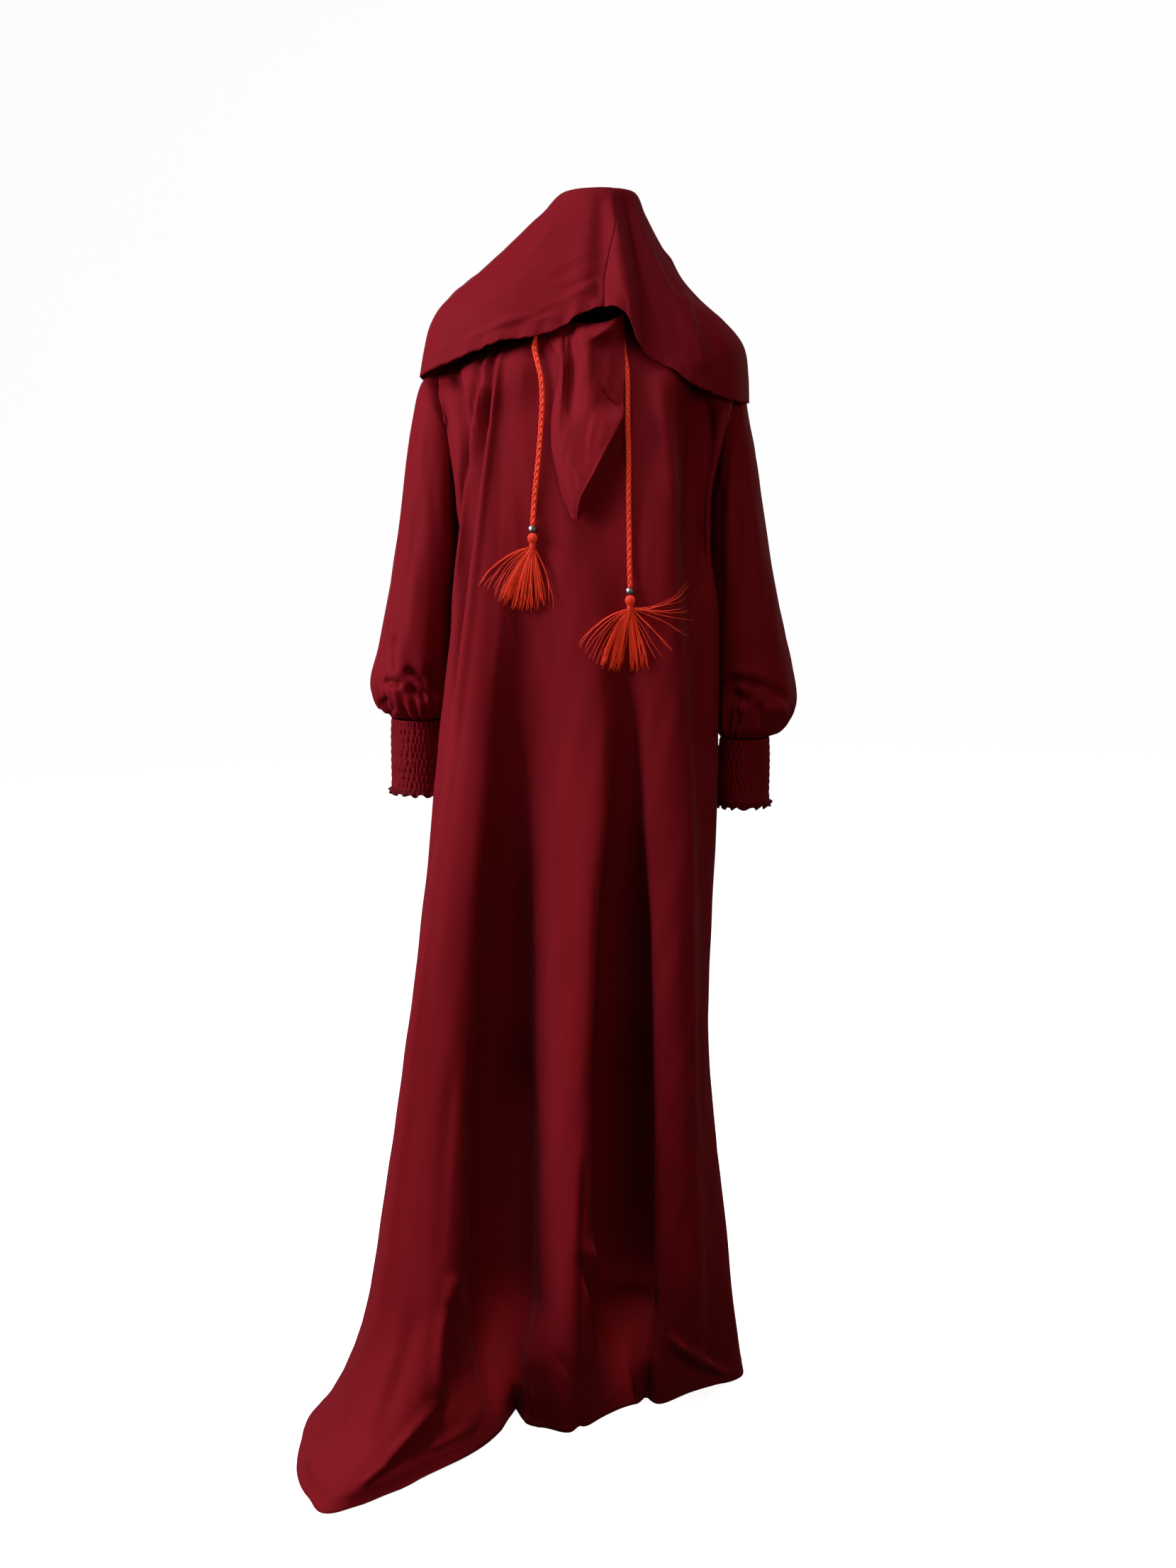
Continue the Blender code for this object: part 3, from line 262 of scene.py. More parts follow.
# From the centre front round the wearer's left side
EDGE_LEFT = (
    Edge(0.044, -0.120, 0.022, 0.006, 0.004),
    Edge(0.064, -0.120, -0.019, 0.008, 0.007),
    Edge(0.084, -0.107, -0.038, 0.001, 0.000),
    Edge(0.104, -0.104, -0.047, -0.007, -0.002),
    Edge(0.130, -0.099, -0.065, 0.006, 0.015),
    Edge(0.158, -0.082, -0.078, 0.000, 0.020),
    Edge(0.186, -0.060, -0.086, -0.004, 0.024),
    Edge(0.204, -0.030, -0.088, -0.006, 0.027),
    Edge(0.209, 0.010, -0.085, -0.004, 0.027),
    Edge(0.204, 0.048, -0.084, 0.004, 0.026),
    Edge(0.180, 0.078, -0.096, 0.012, 0.024),
)

# The drawstrings' routes. The right one lies up to 6 mm beside its solid near the neck
CORD_RIGHT = (
    (-0.0650, -0.0760, -0.006), (-0.0665, -0.0900, -0.022), (-0.0625, -0.1040, -0.040),
    (-0.0580, -0.1135, -0.060), (-0.0565, -0.1205, -0.084), (-0.0580, -0.1290, -0.118),
    (-0.0605, -0.1380, -0.152), (-0.0640, -0.1458, -0.187), (-0.0670, -0.1507, -0.221),
    (-0.0681, -0.1545, -0.2375), (-0.0682, -0.1545, -0.2480),
)
CORD_LEFT = (
    (0.0440, -0.0790, -0.006), (0.0440, -0.0890, -0.018), (0.0445, -0.0975, -0.028),
    (0.0465, -0.1055, -0.038), (0.0480, -0.1110, -0.048), (0.0487, -0.1165, -0.062),
    (0.0490, -0.1238, -0.088), (0.0490, -0.1305, -0.118), (0.0500, -0.1392, -0.152),
    (0.0500, -0.1512, -0.204), (0.0510, -0.1555, -0.255), (0.0515, -0.1595, -0.298),
    (0.0518, -0.1610, -0.3130), (0.0518, -0.1610, -0.3238),
)
BEAD_RIGHT = (-0.0682, -0.1545, -0.2437)
BEAD_LEFT = (0.0518, -0.1610, -0.3195)
KNOB_RIGHT = (-0.0684, -0.156, -0.2553)
KNOB_LEFT = (0.0519, -0.162, -0.3311)
CORD_LENGTH_RIGHT, CORD_LENGTH_LEFT = 0.26, 0.33

# Stray threads beside the dense middle of each tassel
STRAYS_RIGHT = (
    Thread(-82, -30, 0.083), Thread(-80, -34, 0.078), Thread(-74, -30, 0.076), Thread(-70, -24, 0.078),
    Thread(-66, -26, 0.070), Thread(-60, -20, 0.076), Thread(-55, -20, 0.078), Thread(-50, -16, 0.080),
    Thread(34, 2, 0.080), Thread(40, -2, 0.072), Thread(26, 8, 0.066),
)
STRAYS_LEFT = (
    Thread(-80, -32, 0.078), Thread(-76, -30, 0.080), Thread(-70, -28, 0.074), Thread(-64, -26, 0.078),
    Thread(-58, -24, 0.080), Thread(-52, -20, 0.078), Thread(24, 22, 0.070), Thread(40, 30, 0.072),
    Thread(50, 38, 0.074), Thread(56, 34, 0.066), Thread(74, 56, 0.078), Thread(70, 60, 0.068),
    Thread(82, 72, 0.080), Thread(84, 88, 0.074), Thread(88, 84, 0.060), Thread(86, 128, 0.078),
    Thread(84, 140, 0.080), Thread(92, 100, 0.070),
)


class ClothSettings(bpy.types.PropertyGroup):
    """The crepe that the dress is sewn from."""

    colour: bpy.props.FloatVectorProperty(
        name="Crepe colour", description="Colour of the crepe in full light", subtype="COLOR",
        default=(0.225, 0.0064, 0.0115), min=0, max=1,
    )
    thickness: bpy.props.FloatProperty(
        name="Cloth thickness", description="Thickness of every cloth wall", unit="LENGTH",
        subtype="DISTANCE", default=0.0012, min=0.0005, max=0.003,
    )
    stitch_depth: bpy.props.FloatProperty(
        name="Stitch line", description="Distance of the hem's stitching from its edge", unit="LENGTH",
        subtype="DISTANCE", default=0.015, min=0.003, max=0.05,
    )
    gathers: bpy.props.IntProperty(
        name="Sleeve gathers", description="Gathers round each sleeve where it meets the cuff",
        default=26, min=8, max=60,
    )
    smocking_rows: bpy.props.IntProperty(
        name="Elastic rows", description="Rows of shirring elastic in each cuff", default=9, min=3, max=20,
    )


class CordSettings(bpy.types.PropertyGroup):
    """The plaited drawstrings, their beads and tassels."""

    colour: bpy.props.FloatVectorProperty(
        name="Thread colour", description="Colour of the cords and tassels", subtype="COLOR",
        default=(0.90, 0.060, 0.016), min=0, max=1,
    )
    diameter: bpy.props.FloatProperty(
        name="Cord diameter", description="Width of the plaited cord", unit="LENGTH",
        subtype="DISTANCE", default=0.007, min=0.003, max=0.012,
    )
    pitch: bpy.props.FloatProperty(
        name="Plait pitch", description="Length of one full turn of the plait", unit="LENGTH",
        subtype="DISTANCE", default=0.028, min=0.01, max=0.08,
    )
    threads: bpy.props.IntProperty(
        name="Tassel threads", description="Threads in the dense middle of each tassel", default=96,
        min=10, max=200,
    )
    thread_radius: bpy.props.FloatProperty(
        name="Thread radius", description="Radius of one tassel thread", unit="LENGTH",
        subtype="DISTANCE", default=0.00056, min=0.0001, max=0.001,
    )


class StageSettings(bpy.types.PropertyGroup):
    """Camera, floor and studio light."""

    camera_distance: bpy.props.FloatProperty(
        name="Camera distance", description="Distance of the camera in front of the shoulders",
        unit="LENGTH", subtype="DISTANCE", default=2.6, min=1, max=10,
    )
    camera_height: bpy.props.FloatProperty(
        name="Camera height", description="Height of the camera above the floor", unit="LENGTH",
        subtype="DISTANCE", default=1.25, min=0.1, max=3,
    )
    key: bpy.props.FloatProperty(
        name="Main light", description="Power of the soft light from the front left", unit="POWER",
        default=60, min=0, max=1000,
    )
    above: bpy.props.FloatProperty(
        name="Light from above", description="Power of the soft light above the hood", unit="POWER",
        default=26, min=0, max=1000,
    )
    hem: bpy.props.FloatProperty(
        name="Hem light", description="Power of the spot above that falls on the hem", unit="POWER",
        default=700, min=0, max=2000,
    )
    fill: bpy.props.FloatProperty(
        name="Fill light", description="Power of the soft light from the front right", unit="POWER",
        default=14, min=0, max=1000,
    )


def summed(steps):
    """Running totals of steps along the first axis, from 0."""
    return np.concatenate([np.zeros((1, *steps.shape[1:])), np.cumsum(steps, axis=0)])


def curve_through(knots, values, places):
    """Reads, at places, the smooth curve through values at knots, slopes taken from neighbours."""
    knots = np.asarray(knots, float)
    values = np.asarray(values, float)
    places = np.asarray(places, float)
    across = (-1,) + (1,) * (values.ndim - 1)
    steps = np.diff(knots)
    wide = steps.reshape(across)
    rises = np.diff(values, axis=0) / wide
    slopes = np.empty_like(values)
    slopes[0], slopes[-1] = rises[0], rises[-1]
    slopes[1:-1] = (rises[:-1] * wide[1:] + rises[1:] * wide[:-1]) / (wide[1:] + wide[:-1])
    index = np.clip(np.searchsorted(knots, places, side="right") - 1, 0, len(steps) - 1)
    width = steps[index].reshape(across)
    t = ((places - knots[index]) / steps[index]).reshape(across)
    start, end = values[index], values[index + 1]
    lean_in, lean_out = slopes[index] * width, slopes[index + 1] * width
    return (
        start * (2 * t**3 - 3 * t**2 + 1)
        + lean_in * (t**3 - 2 * t**2 + t)
        + end * (3 * t**2 - 2 * t**3)
        + lean_out * (t**3 - t**2)
    )


def unit(vectors):
    """The same directions, each 1 long."""
    lengths = np.linalg.norm(vectors, axis=-1, keepdims=True)
    return vectors / np.maximum(lengths, TINY)


def ease(values):
    """0 to 1 with soft ends."""
    t = np.clip(values, 0, 1)
    return t * t * (3 - 2 * t)


def fold_points(fold):
    """A fold's line as points, top to hem."""
    heights = (YOKE, UNDERARM, HIP, KNEE, LOW)
    middle = [(*place, z) for place, z in zip(fold[3:8], heights)]
    return [fold.top, fold.chest, *middle, (*fold.hem, FLOOR)]


class BodySheet:
    """A body panel between two side seams, read at any place across it and down it."""

    def __init__(self, folds, before, after):
        self.armhole = np.array([fold_points(fold) for fold in (before, *folds, after)])
        self.seamed = self.armhole.copy()
        self.seamed[(1, -2), 2] = self.armhole[(1, -2), 3] * (1, 1, 0) + (0, 0, YOKE)
        lengths = np.linalg.norm(np.diff(self.armhole[:, 3:7], axis=0), axis=2).mean(axis=1)
        self.knots = summed(lengths) - lengths[0]
        self.places = self.knots[1:-1]

    def across(self, table, u):
        """Each section's points at u; the top edge runs straight from fold to fold."""
        sections = curve_through(self.knots, table, u)
        for axis in range(3):
            sections[:, 0, axis] = np.interp(u, self.places, table[1:-1, 0, axis])
        return sections

    def sheet(self, u, v):
        """Points at u across and v down; past the low section, v runs on from 0 to 1 to the hem."""
        u = np.clip(u, self.places[0] - SEAM, self.places[-1] + SEAM)
        down = np.clip(v, 0, DEPTHS[-1])
        by_armhole = curve_through(DEPTHS, self.across(self.armhole, u)[:, :-1].swapaxes(0, 1), down)
        sections = self.across(self.seamed, u)
        hanging = curve_through(DEPTHS, sections[:, :-1].swapaxes(0, 1), down)
        hanging = np.where((v < ARM_DEPTH).reshape(-1, 1, 1), by_armhole, hanging)
        low, knee, hem = sections[:, -2], sections[:, -3], sections[:, -1].copy()
        drop = (low - hem)[:, 2:]
        slope = (low - knee) / (knee - low)[:, 2:]
        run = hem - low
        run[:, 2] = 0.0
        lies = np.clip(np.linalg.norm(run, axis=1, keepdims=True) / RUN_OUT - 1, 0, 1)
        hem[:, 2:] += WALL * lies
        first = low + slope * drop * HEM_PULL
        second = hem - run * HEM_PULL
        second[:, 2:] += drop * HEM_SOFTNESS * (1 - lies)
        t = np.clip(v - DEPTHS[-1], 0, 1).reshape(-1, 1, 1)
        bent = (
            low * (1 - t) ** 3
            + first * 3 * t * (1 - t) ** 2
            + second * 3 * t**2 * (1 - t)
            + hem * t**3
        )
        below = (v > DEPTHS[-1]).reshape(-1, 1, 1)
        return np.where(below, bent, hanging).swapaxes(0, 1)

    def normals(self, u, v):
        """Outward normals, which both panels share along their side seams."""
        over_u = self.sheet(u + STEP, v) - self.sheet(u - STEP, v)
        start = np.minimum(v, DEPTHS[-1] + 1 - STEP)
        over_v = self.sheet(u, start + STEP) - self.sheet(u, start)
        return unit(np.cross(over_v, over_u))

    def inset(self):
        """The sheet's first and last places, where its edges meet the next panel's."""
        return self.places[0] - HALF_SEAM, self.places[-1] + HALF_SEAM


FRONT_SHEET = BodySheet(FRONT, BACK[-2], BACK[1])
BACK_SHEET = BodySheet(BACK, FRONT[-2], FRONT[1])


def grid_normals(points, closed):
    """Outward normals of a grid whose columns run round and whose rows run down."""
    if closed:
        over_u = np.roll(points, -1, axis=0) - np.roll(points, 1, axis=0)
    else:
        over_u = np.gradient(points, axis=0)
    over_v = np.gradient(points, axis=1)
    return unit(np.cross(over_v, over_u))


def running_lengths(points, closed):
    """How far each point lies across the cloth from its first column, and down it from its first row.

    A closed sheet's first column comes once more at the end, with its whole way round.
    """
    ring = np.concatenate([points, points[:1]]) if closed else points
    across = summed(np.linalg.norm(np.diff(ring, axis=0), axis=2))
    down = summed(np.linalg.norm(np.diff(ring, axis=1), axis=2).T).T
    return across, down


def pressed(points, creases):
    """How far each point moves along its normal for these creases."""
    moved = np.zeros(points.shape[:-1])
    x, seen = points[..., 0], points[..., 2] - SEEN_LEAN * np.abs(points[..., 1])
    for crease in creases:
        crease = Crease(*(value / MM_PER_METRE for value in crease))
        start = np.array((crease.x1, crease.seen1))
        run = np.array((crease.x2, crease.seen2)) - start
        length = np.linalg.norm(run)
        along = ((x - start[0]) * run[0] + (seen - start[1]) * run[1]) / length**2
        aside = ((x - start[0]) * run[1] - (seen - start[1]) * run[0]) / length
        aside = aside - crease.bow * 4 * along * (1 - along)
        taper = ease((along + CREASE_RUN_OUT) / CREASE_TAPER)
        taper *= ease((1 + CREASE_RUN_OUT - along) / CREASE_TAPER)
        moved -= crease.depth * taper * np.exp(-((aside / crease.width) ** 2))
    return moved


def rippled(across, down, seed, pitch, height, lean=0.25):
    """Faint waves that run down the cloth, none of them regular."""
    chance = np.random.default_rng(seed)
    total = np.zeros(across.shape)
    for _ in range(RIPPLES):
        length = pitch * chance.uniform(0.55, 1.9)
        turn = chance.normal(0, lean)
        phase = chance.uniform(0, FULL_TURN)
        wave = (across * math.cos(turn) + down * math.sin(turn)) / length
        slow_length = pitch * chance.uniform(5, 14)
        slow = np.sin(FULL_TURN * down / slow_length + chance.uniform(0, FULL_TURN))
        total += np.sin(FULL_TURN * wave + phase + 1.2 * slow)
    return total * height / math.sqrt(RIPPLES)


def gathers(count, number, seed):
    """A ring of uneven gathers, -1 to 1, one value for each column."""
    chance = np.random.default_rng(seed)
    widths = chance.uniform(0.6, 1.5, number)
    knots = summed(widths) / widths.sum() * number
    phase = np.interp(np.arange(count) * number / count, knots, np.arange(number + 1))
    heights = chance.uniform(0.55, 1.15, number + 1)
    heights[-1] = heights[0]
    size = np.interp(phase, np.arange(number + 1), heights)
    return (np.cos(FULL_TURN * phase) * size)[:, None]


def cloth_object(name, points, closed, hem, seam, flip):
    """A sheet as one mesh, with its cut as UVs and its distances from hem and seams as attributes."""
    columns, rows = points.shape[:2]
    across, down = running_lengths(points, closed)
    across = across - across[columns // 2]
    faces = []
    corners = []
    for i in range(columns if closed else columns - 1):
        k = (i + 1) % columns
        for j in range(rows - 1):
            quad = ((i, j, i), (i, j + 1, i), (k, j + 1, i + 1), (k, j, i + 1))
            quad = quad[::-1] if flip else quad
            faces.append([a * rows + b for a, b, _ in quad])
            corners.extend((across[c, b], -down[c, b]) for _, b, c in quad)
    mesh = bpy.data.meshes.new(name)
    mesh.from_pydata(points.reshape(-1, 3).tolist(), [], faces)
    layer = mesh.uv_layers.new(name="cut")
    layer.data.foreach_set("uv", np.array(corners, np.float32).ravel())
    for label, values in (("hem", hem), ("seam", seam)):
        spread = np.broadcast_to(values, (columns, rows)).astype(np.float32)
        attribute = mesh.attributes.new(label, "FLOAT", "POINT")
        attribute.data.foreach_set("value", spread.ravel())
    mesh.shade_smooth()
    obj = bpy.data.objects.new(name, mesh)
    bpy.context.scene.collection.objects.link(obj)
    return obj


def thicken(obj, thickness):
    """Gives a sheet its wall, inwards, and keeps the wall above the floor."""
    for other in bpy.context.selected_objects:
        other.select_set(False)
    obj.select_set(True)
    bpy.context.view_layer.objects.active = obj
    wall = obj.modifiers.new("wall", "SOLIDIFY")
    wall.thickness = thickness
    wall.offset = -1
    bpy.ops.object.modifier_apply(modifier=wall.name)
    places = np.empty(len(obj.data.vertices) * 3, np.float32)
    obj.data.vertices.foreach_get("co", places)
    places[2::3] = np.maximum(places[2::3], FLOOR)
    obj.data.vertices.foreach_set("co", places)
    obj.data.update()


def sheet_with_wall(name, points, cloth, hem, seam=FAR, closed=False, flip=False, stitched=True):
    """A finished piece of crepe: hem and seam say how far each point lies from those edges."""
    obj = cloth_object(name, points, closed, hem, seam, flip)
    thicken(obj, cloth.thickness)
    obj.data.materials.append(crepe(name, cloth, stitched))
    return obj


def settle(obj, node):
    """Puts a finished piece in the place of its solid."""
    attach(obj, "root")
    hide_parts(node)


# Materials


class Nodes:
    """Adds nodes to a material's tree and links them."""

    def __init__(self, name, values):
        self.material = bpy.data.materials.new(name)
        self.material.use_nodes = True
        self.tree = self.material.node_tree
        self.shader = self.tree.nodes["Principled BSDF"]
        self.surface(values)

    def plug(self, socket, value):
        """Links an output to a socket, or sets the socket's own value."""
        if isinstance(value, bpy.types.NodeSocket):
            self.tree.links.new(value, socket)
        elif value is not None:
            socket.default_value = value

    def surface(self, values):
        """Fills the shader's sockets, by their names."""
        for key, value in values.items():
            self.plug(self.shader.inputs[key], value)

    def add(self, kind, values=None, **settings):
        """Adds a node with these inputs and settings, and gives its first output."""
        node = self.tree.nodes.new(kind)
        for key, value in settings.items():
            setattr(node, key, value)
        for key, value in (values or {}).items():
            self.plug(node.inputs[key], value)
        return node.outputs[0]

    def math(self, operation, first, second=0.0, third=0.0, clamp=False):
        """The result of one operation on up to three values."""
        values = {0: first, 1: second, 2: third}
        return self.add("ShaderNodeMath", values, operation=operation, use_clamp=clamp)

    def mix(self, share, first, second):
        """A colour between two colours."""
        node = self.tree.nodes.new("ShaderNodeMix")
        node.data_type = "RGBA"
        sockets = {"Factor_Float": share, "A_Color": first, "B_Color": second}
        for socket in node.inputs:
            self.plug(socket, sockets.get(socket.identifier))
        return next(socket for socket in node.outputs if socket.identifier == "Result_Color")

    def stain(self, base, pattern, share, colour):
        """The base with some of a colour where the pattern is strong."""
        return self.mix(self.math("MULTIPLY", pattern, share, clamp=True), base, colour)

    def near(self, value, middle, half_width):
        """1 where value is at middle, falling to 0 half_width away."""
        off = self.math("ABSOLUTE", self.math("SUBTRACT", value, middle))
        return self.math("SUBTRACT", 1.0, self.math("DIVIDE", off, half_width), clamp=True)

    def wave(self, turns, times=1):
        """A sine that runs through this many waves a turn."""
        return self.math("SINE", self.math("MULTIPLY", turns, FULL_TURN * times))

    def relief(self, height, *parts):
        """The height with each pattern added, times its share."""
        for pattern, share in parts:
            height = self.math("MULTIPLY_ADD", pattern, share, height)
        return height

    def noise(self, place, scale=1.0, detail=3.0, roughness=0.5):
        """Soft, uneven patches."""
        values = {"Vector": place, "Scale": scale, "Detail": detail, "Roughness": roughness}
        return self.add("ShaderNodeTexNoise", values)

    def scaled(self, place, across, along):
        """A place scaled across and along."""
        return self.add("ShaderNodeMapping", {"Vector": place, "Scale": (across, along, 1)})

    def split(self, place):
        """A place's parts across and along."""
        outputs = self.add("ShaderNodeSeparateXYZ", {"Vector": place}).node.outputs
        return outputs["X"], outputs["Y"]

    def object_place(self):
        """The place in the object's own space."""
        return self.add("ShaderNodeTexCoord").node.outputs["Object"]

    def attribute(self, name):
        """A value that the mesh carries at each of its points."""
        return self.add("ShaderNodeAttribute", attribute_name=name).node.outputs["Fac"]

    def finish(self, base, height, strength, depth):
        """The material, with this colour and bump."""
        bump = self.add("ShaderNodeBump", {"Height": height, "Strength": strength, "Distance": depth})
        self.surface({"Base Color": base, "Normal": bump})
        return self.material


def shade(colour, factor):
    """The colour made lighter or darker, with its alpha."""
    return (*(min(1.0, part * factor) for part in colour), 1.0)


def crepe(name, cloth, stitched):
    """Woven crepe: pebbled threads, faint slubs, pressed seams and a stitched hem, with painted shade in its
    groove and a painted highlight on its stitches.
    """
    nodes = Nodes(name, {
        "Roughness": 0.74, "Specular IOR Level": 0.10,
        "Sheen Weight": 0.05, "Sheen Roughness": 0.45, "Sheen Tint": (1.0, 0.24, 0.33, 1.0),
    })
    cut = nodes.add("ShaderNodeUVMap", uv_map="cut")
    pebble = nodes.noise(nodes.scaled(cut, 900, 620), roughness=0.6)
    slub = nodes.noise(nodes.scaled(cut, 260, 16), detail=2.0)
    cloud = nodes.noise(nodes.object_place(), scale=7.0)
    warp, weft = nodes.split(nodes.scaled(cut, 1 / THREAD_PITCH, 1 / THREAD_PITCH))
    weave = nodes.math("MULTIPLY", nodes.wave(warp), nodes.wave(weft))
    base = nodes.stain(shade(cloth.colour, 0.86), pebble, 0.5, shade(cloth.colour, 1.16))
    base = nodes.stain(base, slub, 0.16, shade(cloth.colour, 0.72))
    base = nodes.stain(base, cloud, 0.22, shade(cloth.colour, 0.70))
    hem = nodes.attribute("hem")
    seam_line = nodes.near(nodes.attribute("seam"), 0.0, SEAM_LINE)
    base = nodes.stain(base, seam_line, 0.75, shade(cloth.colour, 0.25))
    height = nodes.relief(0.0, (pebble, 0.10), (weave, 0.02), (slub, 0.03), (seam_line, -0.5))
    if stitched:
        across, _ = nodes.split(cut)
        turns = nodes.math("FRACT", nodes.math("DIVIDE", across, STITCH_LENGTH))
        dash = nodes.math("LESS_THAN", turns, STITCH_SHARE)
        stitch = nodes.math("MULTIPLY", nodes.near(hem, cloth.stitch_depth, STITCH_WIDTH), dash)
        groove = nodes.near(hem, cloth.stitch_depth, GROOVE_WIDTH)
        fold = nodes.math("LESS_THAN", hem, cloth.stitch_depth)
        # Painted shade: the hem's stitch groove is darkened where shade falls in it
        base = nodes.stain(base, groove, 0.30, shade(cloth.colour, 0.45))
        # Painted highlight: the raised stitches are lightened as if catching the light
        base = nodes.stain(base, stitch, 0.55, shade(cloth.colour, 1.35))
        height = nodes.relief(height, (groove, -0.55), (stitch, 0.25), (fold, 0.25))
    return nodes.finish(base, height, strength=0.55, depth=0.001)


def glossy_thread(name, cords):
    """Glossy embroidery thread, whose fine fibres follow the piece's own UVs, with a faint painted glow in
    its own colour.
    """
    nodes = Nodes(name, {
        "Roughness": 0.42, "Specular IOR Level": 0.35,
        "Sheen Weight": 0.12, "Sheen Roughness": 0.35, "Sheen Tint": (1.0, 0.4, 0.2, 1.0),
    })
    lie = nodes.add("ShaderNodeUVMap", uv_map="lie")
    fibre = nodes.noise(nodes.scaled(lie, 9.0, 90.0), roughness=0.65)
    turn, along = nodes.split(lie)
    lean = nodes.math("ADD", turn, nodes.math("DIVIDE", along, THREAD_TWIST))
    twist = nodes.wave(lean, times=5)
    base = nodes.mix(nodes.attribute("tone"), shade(cords.colour, 0.62), shade(cords.colour, 1.10))
    base = nodes.stain(base, fibre, 0.45, shade(cords.colour, 0.55))
    # Painted glow: the thread's colour is given out as light, which brightens the cords and tassels though
    # they are no lamp
    nodes.surface({"Emission Color": base, "Emission Strength": THREAD_PAINTED_GLOW})
    return nodes.finish(base, nodes.relief(0.0, (fibre, 0.25), (twist, 0.12)), strength=0.6, depth=0.0004)


def silver(name):
    """Polished silver tone, dulled in the flutes."""
    nodes = Nodes(name, {"Metallic": 1.0, "Specular IOR Level": 0.5})
    smear = nodes.noise(nodes.object_place(), scale=900.0)
    base = nodes.mix(nodes.attribute("recess"), (0.93, 0.93, 0.95, 1.0), (0.10, 0.10, 0.11, 1.0))
    base = nodes.stain(base, smear, 0.25, (0.60, 0.60, 0.63, 1.0))
    nodes.surface({"Base Color": base, "Roughness": nodes.relief(0.26, (smear, 0.12))})
    return nodes.material


def studio_white(name):
    """The pale floor and backdrop."""
    nodes = Nodes(name, {
        "Roughness": 0.9, "Specular IOR Level": 0.1,
        "Emission Color": (1.0, 1.0, 1.0, 1.0), "Emission Strength": BACKDROP_GLOW,
    })
    grain = nodes.noise(nodes.object_place(), scale=3.0, detail=4.0)
    base = nodes.stain((0.90, 0.90, 0.90, 1.0), grain, 0.3, (0.84, 0.84, 0.85, 1.0))
    nodes.surface({"Base Color": base})
    return nodes.material


# Cords and tassels


def along_route(route, spacing):
    """Points spread evenly along the smooth curve through a route, and how far along each lies."""
    route = np.array(route)
    knots = summed(np.linalg.norm(np.diff(route, axis=0), axis=1))
    fine = curve_through(knots, route, np.linspace(0, knots[-1], ROUTE_POINTS))
    lengths = summed(np.linalg.norm(np.diff(fine, axis=0), axis=1))
    places = np.linspace(0, lengths[-1], int(lengths[-1] / spacing) + 1)
    return np.stack([np.interp(places, lengths, fine[:, axis]) for axis in range(3)], axis=1), places


class ThreadBody:
    """Tubes gathered in one mesh, with UVs round and along each and a tone for each thread."""

    def __init__(self):
        self.body = bmesh.new()
        self.lie = self.body.loops.layers.uv.new("lie")
        self.tone = self.body.verts.layers.float.new("tone")

    def tube(self, path, radius, sides, tone):
        """Adds a closed tube along path."""
        tangents = unit(np.gradient(path, axis=0))
        radius = np.broadcast_to(radius, len(path))
        lengths = summed(np.linalg.norm(np.diff(path, axis=0), axis=1))
        aside = unit(np.cross(tangents[0], TUBE_SIDE))
        rings = []
        for point, along, reach in zip(path, tangents, radius):
            aside = unit(aside - along * aside.dot(along))
            other = np.cross(along, aside)
            ring = []
            for corner in range(sides):
                turn = FULL_TURN * corner / sides
                offset = (aside * math.cos(turn) + other * math.sin(turn)) * reach
                vertex = self.body.verts.new(point + offset)
                vertex[self.tone] = tone
                ring.append(vertex)
            rings.append(ring)
        for step, (low, high) in enumerate(zip(rings[:-1], rings[1:])):
            for corner in range(sides):
                following = (corner + 1) % sides
                face = self.body.faces.new((low[corner], low[following], high[following], high[corner]))
                face.smooth = True
                places = ((corner, step), (corner + 1, step), (corner + 1, step + 1), (corner, step + 1))
                for loop, (turn, place) in zip(face.loops, places):
                    loop[self.lie].uv = (turn / sides, lengths[place])
        self.body.faces.new(rings[0][::-1])
        self.body.faces.new(rings[-1])

    def finish(self, name, cords):
        """The mesh as an object with its thread material."""
        mesh = bpy.data.meshes.new(name)
        bmesh.ops.recalc_face_normals(self.body, faces=self.body.faces)
        self.body.to_mesh(mesh)
        self.body.free()
        obj = bpy.data.objects.new(name, mesh)
        bpy.context.scene.collection.objects.link(obj)
        obj.data.materials.append(glossy_thread(name, cords))
        return obj


def plaited_cord(name, route, cords):
    """Three strands plaited along a route, drawn tight at both ends."""
    centre, places = along_route(route, PLAIT_SPACING)
    tangents = unit(np.gradient(centre, axis=0))
    wide = unit(np.cross(tangents, (0.0, 1.0, 0.0)))
    deep = np.cross(tangents, wide)
    strand = cords.diameter * STRAND_SHARE
    swing, lap = cords.diameter / 2 - strand, cords.diameter * LAP_SHARE
    body = ThreadBody()
    drawn = ease(places / NECK_PULL) * ease((places[-1] - places) / BEAD_PULL)
    tight = TIGHTEST + (1 - TIGHTEST) * drawn
    chance = np.random.default_rng(5)
    for number in range(3):
        turn = FULL_TURN * (places / cords.pitch + number / 3)
        path = centre + wide * (swing * tight * np.sin(turn))[:, None]
        path += deep * (lap * np.sin(2 * turn))[:, None]
        body.tube(path, strand * (0.7 + 0.3 * tight), sides=9, tone=chance.uniform(0.35, 0.65))
    return body.finish(name, cords)


def front_surface():
    """Reads the y of the front panel's outer face at an x and z."""
    mesh = bpy.data.objects["front_panel_cloth"].data
    tree = BVHTree.FromPolygons([v.co for v in mesh.vertices], [p.vertices for p in mesh.polygons])

    def at(x, z):
        hit = tree.ray_cast(Vector((x, -1.0, z)), Vector((0, 1, 0)))[0]
        return hit.y if hit else CHEST_Y

    return at


